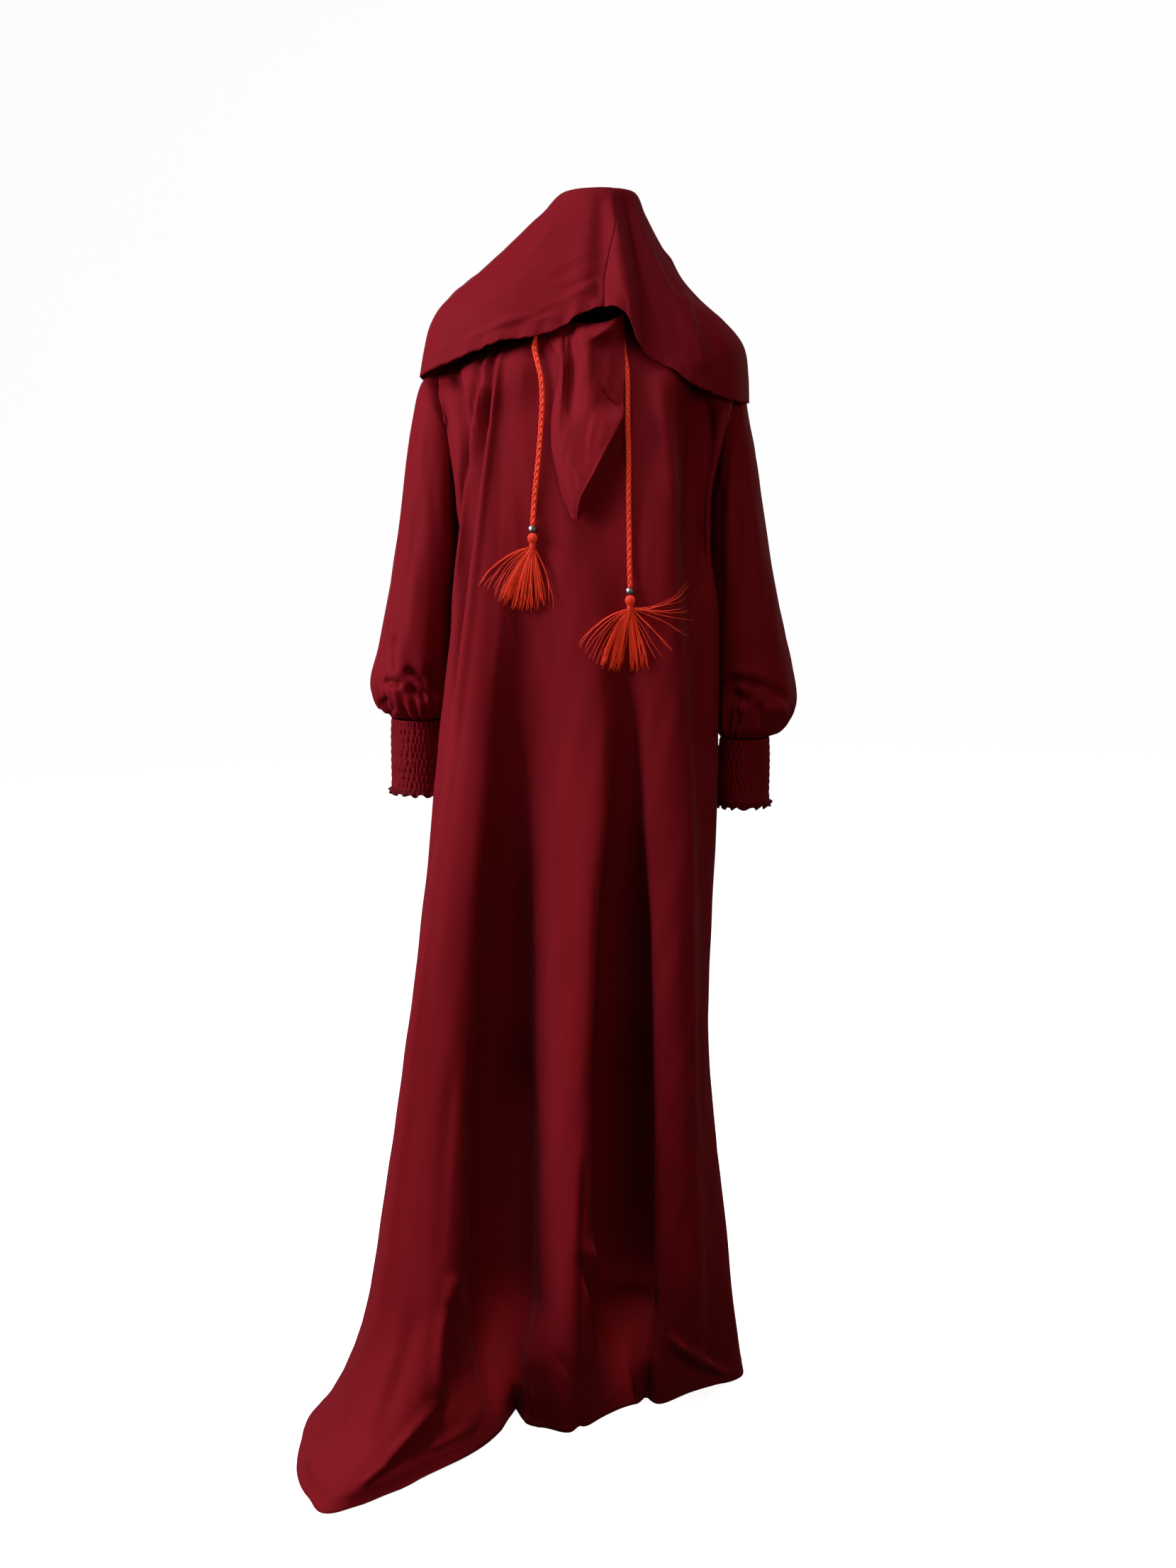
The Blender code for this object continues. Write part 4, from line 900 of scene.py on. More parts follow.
def wrapped_knob(body, knob, chance):
    """Threads wound over a knob, the neck's turns below it and the filling inside them."""
    bow = np.linspace(WRAP_START, math.pi - WRAP_START, 15)
    bent, upright = np.sin(bow)[:, None] * KNOB_RADIUS, np.cos(bow)[:, None] * KNOB_HALF_HEIGHT
    for number in range(KNOB_WRAPS):
        turn = FULL_TURN * number / KNOB_WRAPS
        out = np.array((math.cos(turn), math.sin(turn), 0.0))
        path = knob + out * bent + np.array((0, 0, 1)) * upright
        body.tube(path, WRAP_RADIUS, sides=5, tone=chance.uniform(0.3, 0.7))
    turn = np.linspace(0, FULL_TURN, 25)[:-1]
    turn = np.concatenate([turn, turn[:2]])
    for level in range(NECK_TURNS):
        height = np.full(len(turn), NECK_TOP - NECK_PITCH * level)
        path = knob + np.stack([np.cos(turn) * NECK_RADIUS, np.sin(turn) * NECK_RADIUS, height], axis=1)
        body.tube(path, NECK_THREAD_RADIUS, sides=6, tone=chance.uniform(0.3, 0.6))
    filling = knob + np.array([(0, 0, -0.0050), (0, 0, -0.0075), (0, 0, -0.0100), (0, 0, -0.0135)])
    body.tube(filling, (0.0028, 0.0028, 0.0030, 0.0042), sides=14, tone=0.4)


def dense_threads(count, core, chance):
    """The tassel's middle threads, in locks between the two angles of core."""
    locks = np.sort(chance.uniform(0.02, 0.98, LOCKS))
    threads = []
    for number in range(count):
        share = min(1, max(0, locks[number % LOCKS] + chance.normal(0, 0.022)))
        angle = core[0] + (core[1] - core[0]) * share
        length = chance.uniform(0.064, 0.082) * (1 - 0.06 * abs(share - 0.5))
        tip = angle * TIP_SHARE + chance.normal(0, 1.6)
        threads.append(Thread(angle * ROOT_SHARE, tip, length))
    return threads


def thread_path(root, thread, stray, chance, surface):
    """One thread from the neck out over the cloth, somewhere in the tassel's thickness."""
    lift = LOWEST_THREAD + (STRAY_HEIGHT if stray else FAN_HEIGHT) * chance.uniform(0, 1)
    share = np.linspace(0, 1, THREAD_STEPS)
    wiggle = chance.normal(0, 5.0 if stray else 3.0, THREAD_STEPS)
    wiggle += chance.normal(0, 6) * np.sin(share * chance.uniform(3, 7))
    angles = np.radians(thread.root + (thread.tip - thread.root) * share + wiggle * share)[1:]
    stride = thread.length / (THREAD_STEPS - 1)
    middle_angle = math.radians((thread.root + thread.tip) / 2)
    spread = math.sin(middle_angle) * NECK_SPREAD + chance.uniform(-NECK_JITTER, NECK_JITTER)
    x = root[0] + spread + summed(np.sin(angles) * stride)
    z = root[2] + chance.uniform(-NECK_JITTER, NECK_JITTER) - summed(np.cos(angles) * stride)
    deep = root[1] + chance.uniform(-NECK_DEPTH, NECK_DEPTH)
    rest = np.array([surface(*place) for place in zip(x, z)]) - lift
    leave = ease(share / LEAD)
    y = np.minimum(deep * (1 - leave) + rest * leave, rest + THREAD_REST)
    return np.stack([x, y, z], axis=1)


def tassel(name, knob_place, strays, core, seed, cords, surface):
    """A thread-wrapped knob and neck above threads that fan out over the cloth."""
    body = ThreadBody()
    chance = np.random.default_rng(seed)
    knob = np.array(knob_place)
    wrapped_knob(body, knob, chance)
    threads = dense_threads(cords.threads, core, chance)
    for number, thread in enumerate((*threads, *strays)):
        path = thread_path(knob - (0, 0, NECK_LENGTH), thread, number >= cords.threads, chance, surface)
        radius = cords.thread_radius * chance.uniform(0.8, 1.2) * np.linspace(1.05, 0.7, THREAD_STEPS)
        body.tube(path, radius, sides=4, tone=chance.uniform(0.1, 1.0))
    return body.finish(name, cords)


# Cloth pieces

FRONT_CREASES = (
    Crease(-108, -40, -171, -600, 4.5, -7, -3),
    Crease(-118, -40, -178, -540, 5.5, 15, -3),
    Crease(-125, -40, -172, -380, 4, -6, 0),
    Crease(-133, -40, -177, -340, 4.5, 10, 0),
    Crease(-136, -80, -126, -172, 5, 7.6, 0),
    Crease(85, -93, 106, -277, 12, -5.9, 0),
    Crease(117, -123, 118, -438, 5.5, 4.5, 0),
    Crease(134, -155, 137, -483, 6, -3, 0),
    Crease(4, -1230, 58, -1329, 12, -7, 2),
    Crease(-9, -1247, 44, -1350, 7.5, 9, 2),
    Crease(-4, -1130, -6, -1460, 4.5, 12, 0),
    Crease(-34, -1377, -9, -1433, 3.5, 3, 0),
    Crease(109, -1361, 197, -1423, 6, -12, 2),
    Crease(-169, -581, -204, -800, 6, -2.8, 0),
    Crease(-201, -781, -232, -1027, 7, -3.2, 0),
    Crease(-229, -1008, -257, -1255, 8, -3.5, 0),
    Crease(-254, -1236, -274, -1368, 8, -3.5, 0),
    Crease(-76, -534, -86, -891, 11, -2.2, 1),
    Crease(15, -695, 21, -1082, 10, 2.2, -1),
    Crease(-53, -745, -66, -1178, 9, 2, 1),
    Crease(-170, -990, -190, -1273, 9, 2.8, 1),
    Crease(-170, -1273, -179, -1312, 5, -6, 0),
    Crease(-179, -1312, -191, -1444, 4.5, -9, 3),
    Crease(-191, -1438, -253, -1529, 4.5, -9, 3),
    Crease(-249, -1523, -279, -1555, 4.5, -7, 0),
    Crease(-171, -1321, -181, -1449, 5.5, 12, 3),
    Crease(-181, -1444, -244, -1535, 5.5, 13, 3),
    Crease(-241, -1367, -273, -1486, 8, -3, 2),
    Crease(-214, -1320, -249, -1459, 9, 3, 2),
    Crease(-163, -1475, -205, -1517, 6, -3, 0),
    Crease(-138, -1459, -155, -1499, 5, 3, 0),
    Crease(67, -572, 78, -911, 8, -2.2, 0),
    Crease(125, -753, 145, -1178, 8, 2.8, 0),
    Crease(83, -1290, 83, -1460, 4.5, 13, 0),
    Crease(-174, -40, -150, -215, 6, 15, 0),
    Crease(146, 0, 154, -360, 17, 22, 0),
    Crease(-92, -560, -114, -1480, 22, 18, 0),
    Crease(-104, -720, -112, -1475, 28, 24, 0),
    Crease(-42, -640, -46, -1580, 30, -7, 0),
    Crease(-110, -940, -108, -1472, 30, 18, 0),
    Crease(50, -560, 48, -1440, 20, 20, 0),
    Crease(48, -720, 50, -1440, 27, 25, 0),
    Crease(46, -940, 50, -1438, 27, 18, 0),
    Crease(58, -1340, 66, -1640, 30, -30, 0),
    Crease(-150, -1420, -160, -1640, 35, -12, 0),
    Crease(-76, -1330, -70, -1620, 30, -22, 0),
    Crease(106, -1385, 182, -1432, 5.5, 12, 2),
)
BACK_CREASES = (
    Crease(-150, -230, -190, -700, 10, 4.5, 3),
    Crease(-30, -180, -40, -640, 12, -3.5, 2),
    Crease(70, -260, 85, -760, 10, 4, -2),
    Crease(118, -200, 140, -560, 8, -3.5, 2),
    Crease(-95, -320, -120, -900, 12, 3.5, -3),
    Crease(-210, -760, -262, -1260, 11, -4.5, 3),
    Crease(-40, -820, -62, -1340, 14, 5, 4),
    Crease(20, -700, 28, -1180, 11, -3.5, -2),
    Crease(120, -860, 150, -1380, 10, 4.5, 2),
    Crease(60, -1150, 75, -1470, 9, -5, 1),
    Crease(-150, -1060, -185, -1450, 10, 5.5, -2),
    Crease(-250, -1180, -290, -1470, 10, 4.5, 3),
    Crease(-100, -950, -122, -1200, 8, -3, 1),
    Crease(168, -980, 190, -1300, 9, -3.5, 1),
    Crease(-10, -420, -4, -580, 7, 2.5, 4),
    Crease(-235, -1330, -200, -1440, 7, -4.5, 3),
)

# Where the hem is drawn back towards the feet
Notch = namedtuple("Notch", "x half_width back")
FRONT_NOTCHES = (Notch(-0.098, 0.011, 0.058), Notch(0.079, 0.008, 0.020), Notch(-0.012, 0.006, 0.012))
BACK_NOTCHES = (Notch(0.062, 0.012, -0.040), Notch(-0.140, 0.014, -0.030))
NOTCH_REACH = 0.09
# Past this y the hem trails on the floor, where it is rolled outwards this far
TRAIN_START, TRAIN_ROLL = -0.24, 0.014
TRAIN_BLEND, TRAIN_HEIGHT, ROLL_WIDTH = 0.05, 0.07, 0.028
# Share of a panel's rows above the low section, and how far from a seam the cloth moves freely
HANGING_SHARE, SEWN_HOLD = 0.84, 0.03
# How freely the hem moves, and how far above it the cloth moves freely
HEM_FREE, HEM_HOLD = 0.6, 0.05

SLEEVE_COLUMNS, SLEEVE_ROWS, SLEEVE_UPPER_ROWS = 156, 132, 86
# The ring where the sleeve starts to blouse over the cuff
SLEEVE_BLOUSE = 6.5
# Above the cuff: how far the gathers and the fewer long waves reach, and how high they stand
GATHER_REACH, GATHER_HEIGHT = 0.075, 0.0032
LONG_GATHERS, LONG_REACH, LONG_HEIGHT = 9, 0.16, 0.0022
CUFF_COLUMNS, CUFF_ROWS = 236, 100
CUFF_PUCKERS, CUFF_SWELL, CUFF_DENT = 36, 0.0006, 0.0042
# How far a row of elastic is drawn from its middle as a seam
ELASTIC = 0.0002
FRILL, FRILL_HEIGHT, FRILL_WAVES, FRILL_DIPS = 0.008, 0.0024, 22, 13
HOOD_COLUMNS, HOOD_LINES = 130, 96
# How far above the hood's edge its small puckers reach
PUCKER_REACH = 0.024
# How far in front of the shoulders the hood's edge starts to wave
FRONT_START, FRONT_BLEND = 0.02, 0.03
# The crown shows no seam, and the front seam's line fades over this share of the way down
UNSEWN, SEAM_HIDDEN = 0.02, 0.01
SEAM_FADE_START, SEAM_FADE = 0.72, 0.08
CHIN_COLUMNS, CHIN_ROWS = 112, 130


def body_panel(name, panel, columns, rows, creases, notches, seed, cloth):
    """One body panel, shoulder to hem."""
    u = np.linspace(*panel.inset(), columns)
    hanging = int(rows * HANGING_SHARE)
    to_hem = np.linspace(0, 1, rows - hanging + 1)[1:]
    v = np.concatenate([np.linspace(0, DEPTHS[-1], hanging), DEPTHS[-1] + to_hem])
    points = panel.sheet(u, v)
    normals = panel.normals(u, v)
    across, down = running_lengths(points, False)
    from_side = np.minimum(across, across[-1] - across)
    hem = down[:, -1:] - down
    free = ease(from_side / SEWN_HOLD) * ease(down / SEWN_HOLD)
    free *= HEM_FREE + (1 - HEM_FREE) * ease(hem / HEM_HOLD)
    moved = rippled(across - across[columns // 2], down, seed, pitch=0.05, height=0.0007)
    moved += pressed(points, creases)
    points = points + normals * (moved * free)[..., None]
    by_floor = 1 - ease((points[..., 2] - FLOOR) / TRAIN_HEIGHT)
    trailing = ease((TRAIN_START - points[..., 1]) / TRAIN_BLEND)
    points[..., 2] += TRAIN_ROLL * by_floor * ease(hem / ROLL_WIDTH) * trailing
    for notch in notches:
        aside = np.abs((points[..., 0] - notch.x) / notch.half_width) ** 1.6
        points[..., 1] += notch.back * np.exp(-aside) * ease(1 - hem / NOTCH_REACH) ** 2
    points[..., 2] = np.maximum(points[..., 2], FLOOR)
    on_seam = np.abs(points[:, 0, 0]) >= NECK_POINT[0] - STEP
    points[on_seam, 0, 1] += HALF_SEAM * (-1 if panel is BACK_SHEET else 1)
    shoulder = np.where(np.abs(points[:, :1, 0]) >= NECK_POINT[0], down, FAR)
    return sheet_with_wall(name, points, cloth, hem, np.minimum(from_side, shoulder))


def armhole(side, steps):
    """The armhole's edge: down the front panel from the shoulder tip to the underarm and up the back."""
    v = np.linspace(0, ARM_DEPTH, steps + 1)
    front_u = FRONT_SHEET.inset()[0 if side < 0 else 1]
    back_u = BACK_SHEET.inset()[1 if side < 0 else 0]
    front_edge = FRONT_SHEET.sheet(np.array([front_u]), v)[0]
    back_edge = BACK_SHEET.sheet(np.array([back_u]), v)[0]
    loop = np.concatenate([front_edge, back_edge[steps - 1 : 0 : -1]])
    loop[steps, 1] = (front_edge[-1, 1] + back_edge[-1, 1]) / 2
    loop[:, 0] += side * SEAM
    return loop


def ring_table(rings, count, places):
    """Points read from the table of rings, count of them round each, in the order of the armhole."""
    sections = curve_through(np.arange(len(rings)), np.array(rings), places)
    outer_x, outer_z, inner_x, inner_z, front, back = sections.T
    turn = FULL_TURN * np.arange(count) / count
    along, aside = np.cos(turn)[:, None], np.sin(turn)[:, None]
    x = (outer_x + inner_x) / 2 + along * (outer_x - inner_x) / 2
    z = (outer_z + inner_z) / 2 + along * (outer_z - inner_z) / 2
    y = (front + back) / 2 - aside * (back - front) / 2
    return np.stack([x, y, z], axis=-1)


SLEEVE_CREASES_RIGHT = (
    Crease(-205, -109, -223, -280, 8, -2.4, 0),
    Crease(-191, -135, -198, -316, 9, 2.8, 0),
    Crease(-217, -226, -240, -408, 7, 2, 2),
    Crease(-187, -295, -195, -431, 6, -2, 0),
    Crease(-188, -40, -190, -330, 16, -9, 0),
    Crease(-238, -450, -209, -466, 5.5, 9.5, -2),
    Crease(-268, -460, -243, -471, 4.5, 8.5, 0),
    Crease(-236, -474, -210, -486, 6, 8.5, -2),
    Crease(-272, -482, -254, -502, 5, 8, 0),
    Crease(-252, -400, -250, -452, 5, 4.5, 1),
    Crease(-206, -440, -196, -480, 6, 7, 1),
)
SLEEVE_CREASES_LEFT = (
    Crease(185, -153, 181, -350, 4.5, -3, 0),
    Crease(197, -167, 207, -390, 7, 2.8, 0),
    Crease(212, -219, 230, -426, 7, -2.4, 0),
    Crease(171, -205, 171, -400, 5, 2.8, 0),
    Crease(168, -458, 216, -470, 5, 6, -3),
    Crease(206, -468, 262, -484, 5, 5.5, -3),
    Crease(168, -448, 240, -464, 7, -3.5, -4),
    Crease(184, -478, 210, -488, 6.5, 9.5, 2),
    Crease(198, -503, 196, -524, 4, 6, 0),
    Crease(222, -492, 226, -524, 4.5, 5, 1),
    Crease(228, -500, 262, -498, 8, -4.5, 0),
)


def sleeve(name, rings, side, creases, seed, cloth):
    """A full sleeve from the armhole to its gathers at the cuff."""
    upper = np.linspace(0, SLEEVE_BLOUSE, SLEEVE_UPPER_ROWS)
    blouse = np.linspace(SLEEVE_BLOUSE, len(rings) - 1, SLEEVE_ROWS - SLEEVE_UPPER_ROWS + 1)[1:]
    places = np.concatenate([upper, blouse])
    points = ring_table(rings, SLEEVE_COLUMNS, places)
    fade = np.clip(1 - places / SLEEVE_EASE, 0, 1) ** 2
    points += (armhole(side, SLEEVE_COLUMNS // 2) - points[:, 0])[:, None] * fade[None, :, None]
    normals = grid_normals(points, True) * (-side)
    across, down = (lengths[:-1] for lengths in running_lengths(points, True))
    to_cuff = down[:, -1:] - down
    reach = np.random.default_rng(seed + 3).uniform(0.6, 1.3, SLEEVE_COLUMNS)
    reach = np.concatenate([reach[-4:], reach, reach[:4]])
    reach = np.convolve(reach, np.ones(9) / 9, "valid")[:, None]
    share = ease(1 - to_cuff / (GATHER_REACH * reach)) * (0.35 + 0.65 * ease(to_cuff / 0.02))
    moved = gathers(SLEEVE_COLUMNS, cloth.gathers, seed) * share * GATHER_HEIGHT
    long_share = ease(1 - to_cuff / LONG_REACH) * ease(to_cuff / 0.03)
    moved = moved + gathers(SLEEVE_COLUMNS, LONG_GATHERS, seed + 1) * long_share * LONG_HEIGHT
    free = ease(down / 0.02) * ease(to_cuff / 0.01)
    ripples = rippled(across, down, seed + 2, pitch=0.05, height=0.0008)
    moved += (ripples + pressed(points, creases)) * free
    points = points + normals * moved[..., None]
    underarm = np.abs(across - across[SLEEVE_COLUMNS // 2])
    seam = np.minimum(np.minimum(down, to_cuff), underarm)
    return sheet_with_wall(name, points, cloth, FAR, seam, closed=True, flip=side > 0, stitched=False)


def cuff(name, rings, side, seed, cloth):
    """A smocked cuff: puckers between rows of elastic, with a small frill below the last."""
    points = ring_table(rings, CUFF_COLUMNS, np.linspace(0, len(rings) - 1, CUFF_ROWS))
    normals = grid_normals(points, True) * (-side)
    down = running_lengths(points, True)[1][:-1]
    long = down[:, -1:]
    pitch = (long - FRILL) / cloth.smocking_rows
    row = np.minimum(down / pitch, cloth.smocking_rows)
    swell = np.sin(math.pi * row) ** 2
    moved = np.zeros(down.shape)
    for band in range(cloth.smocking_rows + 1):
        dents = np.clip(-gathers(CUFF_COLUMNS, CUFF_PUCKERS, seed + band), 0, 1) ** 1.4
        here = np.clip(1 - np.abs(row - band - 0.5) / 0.75, 0, 1)
        puckered = CUFF_SWELL * swell - dents * CUFF_DENT * (0.25 + 0.75 * swell)
        moved += (np.floor(row) == band) * puckered * (0.4 + 0.6 * here)
    in_frill = ease((down - (long - FRILL)) / FRILL)
    moved += gathers(CUFF_COLUMNS, FRILL_WAVES, seed + 50) * in_frill * FRILL_HEIGHT
    points = points + normals * moved[..., None]
    points[..., 2] += gathers(CUFF_COLUMNS, FRILL_DIPS, seed + 60) * in_frill * FRILL_HEIGHT
    elastic = np.abs(row - np.round(row)) * pitch + ELASTIC
    hem = long - down + cloth.stitch_depth * 0.8
    return sheet_with_wall(name, points, cloth, hem, elastic, closed=True, flip=side > 0, stitched=False)


def hood_ribs():
    """The hood's edge all round, from the centre front over the wearer's left to the back and on."""
    places = [BACK_SHEET.places[0]]
    for start, end, count in zip(BACK_SHEET.places[:-1], BACK_SHEET.places[1:], BACK_STEPS):
        places.extend(start + (end - start) * k / count for k in range(1, count + 1))
    first, last = HOOD_REST_COLUMNS
    u = np.array(places)[first : last + 1]
    v = np.array([HOOD_LIFT_DEPTH, HOOD_REST_DEPTH])
    rest, normals = BACK_SHEET.sheet(u, v), BACK_SHEET.normals(u, v)
    stand = SEAM + WALL
    ribs = [(row[:3], None, row[3:]) for row in (EDGE_RIGHT[0], *EDGE_LEFT)]
    for column in range(len(u)):
        edge = rest[column, 1] + normals[column, 1] * stand
        above = rest[column, 0] + normals[column, 0] * (stand + HOOD_LIFT)
        ribs.append((edge, above, REST_STAND_OFF))
    ribs.extend((row[:3], None, row[3:]) for row in EDGE_RIGHT[:0:-1])
    back_seam = 1 + len(EDGE_LEFT) + (len(places) - 1) // 2 - first
    return ribs, back_seam


def hood_grid():
    """Grid of ribs from the crown down to the edge, and the rib of the back seam."""
    crown = np.array(CROWN)
    grid = []
    ribs, back_seam = hood_ribs()
    for rim, above, bulge in ribs:
        way = unit(np.array(rim[:2]) - crown[:2])
        top = np.array([*(crown[:2] + way * CROWN_RADIUS), crown[2] - CROWN_DROP])
        chord = np.array(rim) - top
        level = np.array([*way, 0.0])
        along = unit(chord)
        out = unit(level - along * level.dot(along))
        stand = curve_through((0, 0.4, 0.8, 1), ((0.0,), (bulge[0],), (bulge[1],), (0.0,)), HOOD_ROWS)
        line = top + chord * np.array(HOOD_ROWS)[:, None] + out * stand
        if above is not None:
            line[-2] = above
        dome = crown * (1 - DOME_SHARE) + top * DOME_SHARE + np.array([0, 0, CROWN_DROP * DOME_RISE])
        grid.append(np.concatenate([[crown, dome], line]))
    return np.array(grid), back_seam


HOOD_CREASES = (
    Crease(-156, -2, -104, 15, 5, -1.3, 2),
    Crease(-149, -30, -66, -17, 5.5, -1.5, 3),
    Crease(-66, -17, 7, 9, 6, -1.6, -2),
    Crease(-113, -21, -21, -26, 5, -1.4, 2),
    Crease(-173, -32, -107, -19, 5, 1.4, 2),
    Crease(-56, 35, -6, 57, 6, -1.4, 2),
    Crease(-121, 23, -56, 74, 7, 1.4, 3),
    Crease(-73, 69, -40, 114, 6, -1.2, 1),
    Crease(-114, -38, -43, -15, 4, 1.2, 2),
    Crease(-35, 11, 14, 26, 4.5, 1.3, 1),
    Crease(11, 24, 14, -9, 4, 2, 0),
    Crease(32, 78, 41, 6, 6, -1.4, 1),
    Crease(99, 98, 121, 25, 8, -3.5, 0),
    Crease(119, 32, 137, -38, 8, -4, 0),
    Crease(135, -33, 147, -85, 8, -4, 0),
    Crease(130, 10, 162, -58, 9, 3, 2),
    Crease(84, -13, 97, -86, 6, 2, 0),
)

# How far the front seam lies towards the wearer's left of its end, as a share of two ribs, down the hood
SEAM_LEAN = ((0.0, 1.0), (0.2, 1.0), (0.35, 0.62), (0.51, 0.30), (0.76, 0.05), (1.0, 0.0))


def hood_sheet():
    """The whole hood round its crown, from the front seam on, and how far down it each line lies."""
    coarse, back_seam = hood_grid()
    ring = np.concatenate([coarse[-2:], coarse, coarse[:3]])
    gaps = sum(np.linalg.norm(np.diff(ring[:, row], axis=0), axis=1) for row in (-1, 5))
    knots = summed(gaps) - gaps[:2].sum()
    falls = summed(np.linalg.norm(np.diff(coarse, axis=1), axis=2).mean(axis=0))
    shares = np.linspace(0, 1, HOOD_LINES) ** 0.9
    lines = curve_through(falls, ring.swapaxes(0, 1), falls[-1] * shares)
    leans = curve_through(*np.array(SEAM_LEAN).T, shares) * (knots[4] - knots[2])
    back = knots[2 + back_seam]
    whole = []
    for line, lean in zip(lines, leans):
        left = np.linspace(knots[2] + lean, back, HOOD_COLUMNS)[:-1]
        right = np.linspace(back, knots[2 + len(coarse)] + lean, HOOD_COLUMNS)[:-1]
        whole.append(curve_through(knots, line, np.concatenate([left, right])))
    return np.stack(whole, axis=1), shares


def hood_halves(cloth):
    """Both halves of the hood, parted along the seam over the crown."""
    whole, shares = hood_sheet()
    across, down = (lengths[:-1] for lengths in running_lengths(whole, True))
    normals = grid_normals(whole, True)
    normals[:, 0] = (0, 0, 1)
    to_hem = down[:, -1:] - down
    rim = across[:, -1:]
    front = ease((-whole[:, -1:, 1] - FRONT_START) / FRONT_BLEND)

    def edge_wave(seed, pitch, height, reach):
        """Waves of the front edge, which fade out this far above it."""
        return rippled(rim, np.zeros_like(rim), seed, pitch, height) * ease(1 - to_hem / reach) * front

    pucker = rippled(np.broadcast_to(rim, to_hem.shape), to_hem, 44, pitch=0.009, height=0.0005)
    moved = rippled(across, down, 42, pitch=0.09, height=0.0003) * ease(down / 0.04)
    moved += edge_wave(41, pitch=0.030, height=0.0013, reach=0.030)
    moved += pucker * ease(1 - to_hem / PUCKER_REACH)
    moved += pressed(whole, HOOD_CREASES) * (whole[..., 1] < 0.03)
    moved *= np.where(front > 0.01, 1.0, ease(to_hem / 0.06))
    whole = whole + normals * moved[..., None]
    whole[..., 2] += edge_wave(45, pitch=0.016, height=0.0007, reach=0.012)
    sideways = unit(np.roll(whole, -1, axis=0) - np.roll(whole, 1, axis=0))
    made = []
    middle = HOOD_COLUMNS - 1
    for name, first, last in (("hood_left", 0, middle), ("hood_right", middle, len(whole))):
        half = [number % len(whole) for number in range(first, last + 1)]
        points = whole[half].copy()
        for end, way in ((0, -1), (-1, 1)):
            points[end] += sideways[half[end]] * (way * HALF_SEAM)
        points[:, 0] = CROWN
        sewn = np.linalg.norm(points - points[:1], axis=2)
        sewn = np.minimum(sewn, np.linalg.norm(points - points[-1:], axis=2))
        sewn[:, 0] = UNSEWN
        fade = ease((shares - SEAM_FADE_START) / SEAM_FADE) * (points[..., 1] < 0)
        sewn = sewn + SEAM_HIDDEN * fade
        made.append(sheet_with_wall(name + "_cloth", points, cloth, to_hem[half], sewn))
    return made


# A line across the chin piece in millimetres, from the wearer's right to left
Drape = namedtuple("Drape", "x y z")
# The chin piece, from its rolled collar down to its tip
CHIN = (
    Drape(
        x=(-52, -38, -28, -20, -13, 4, 24, 37, 44, 45),
        y=(-72, -84, -82, -79, -88, -94, -98, -96, -90, -84),
        z=(0, 2, 4, 8, 9, 8, 10, 15, 19, 19),
    ),
    Drape(
        x=(-49, -38, -28, -20, -12, 2, 19, 35, 44, 45),
        y=(-82, -95, -97, -96, -110, -118, -120, -101, -90, -84),
        z=(-11, -10, -10, -8, -7, -7, -4, 3, 8, 8),
    ),
    Drape(
        x=(-42, -35, -27, -20, -10, 1, 16, 33, 44, 45),
        y=(-97, -108, -106, -102, -118, -123, -114, -104, -91, -90),
        z=(-25, -24, -23, -21, -22, -22, -17, -11, -8, -8),
    ),
    Drape(
        x=(-36, -32, -25, -20, -10, 0, 15, 30, 44, 45),
        y=(-110, -120, -116, -111, -126, -131, -122, -115, -108, -107),
        z=(-41, -41, -41, -41, -42, -42, -37, -33, -30, -31),
    ),
    Drape(
        x=(-38, -32, -26, -21, -10, 2, 17, 30, 44, 44),
        y=(-119, -128, -122, -118, -134, -139, -134, -128, -124, -122),
        z=(-67, -68, -68, -67, -68, -68, -67, -65, -64, -64),
    ),
    Drape(
        x=(-44, -36, -28, -22, -9, 4, 18, 30, 43, 44),
        y=(-122, -135, -134, -130, -141, -146, -142, -138, -134, -129),
        z=(-94, -94, -94, -94, -94, -94, -92, -92, -92, -93),
    ),
    Drape(
        x=(-46, -38, -28, -18, -7, 5, 18, 30, 41, 42),
        y=(-128, -142, -145, -147, -149, -151, -154, -154, -152, -144),
        z=(-120, -119, -118, -118, -118, -116, -114, -112, -111, -113),
    ),
    Drape(
        x=(-44.5, -37, -29, -19, -9.5, -0.5, 8.5, 16, 23.5, 25.5),
        y=(-135.5, -148, -153.5, -157, -159, -160, -161.5, -162, -162, -153.5),
        z=(-148.5, -149.5, -151, -152, -152, -151, -148.5, -147.5, -145.5, -148.5),
    ),
    Drape(
        x=(-37.5, -32.5, -27, -21.5, -14.5, -9, -4, 1, 5.5, 9.5),
        y=(-144.5, -154.5, -160, -163.5, -165.5, -167, -168, -168.5, -169, -161),
        z=(-181.5, -182.5, -183.5, -183.5, -183.5, -182, -182, -181, -180, -184.5),
    ),
    Drape(
        x=(-31, -28, -24.5, -21.5, -18.5, -16, -13.5, -11, -8.5, -1.5),
        y=(-151, -157, -161.5, -164.5, -167, -168, -169, -170, -171, -162.5),
        z=(-205, -206.5, -207.5, -207.5, -207.5, -207.5, -207.5, -207, -206.5, -212),
    ),
    Drape(
        x=(-20, -19, -18, -17, -16.5, -15.5, -15, -14.5, -13.5, -12),
        y=(-161, -162, -163, -164.5, -164.5, -164.5, -164.5, -164.5, -164.5, -161.5),
        z=(-231, -231.5, -232.5, -233, -233.5, -234, -234, -234, -234, -232.5),
    ),
)
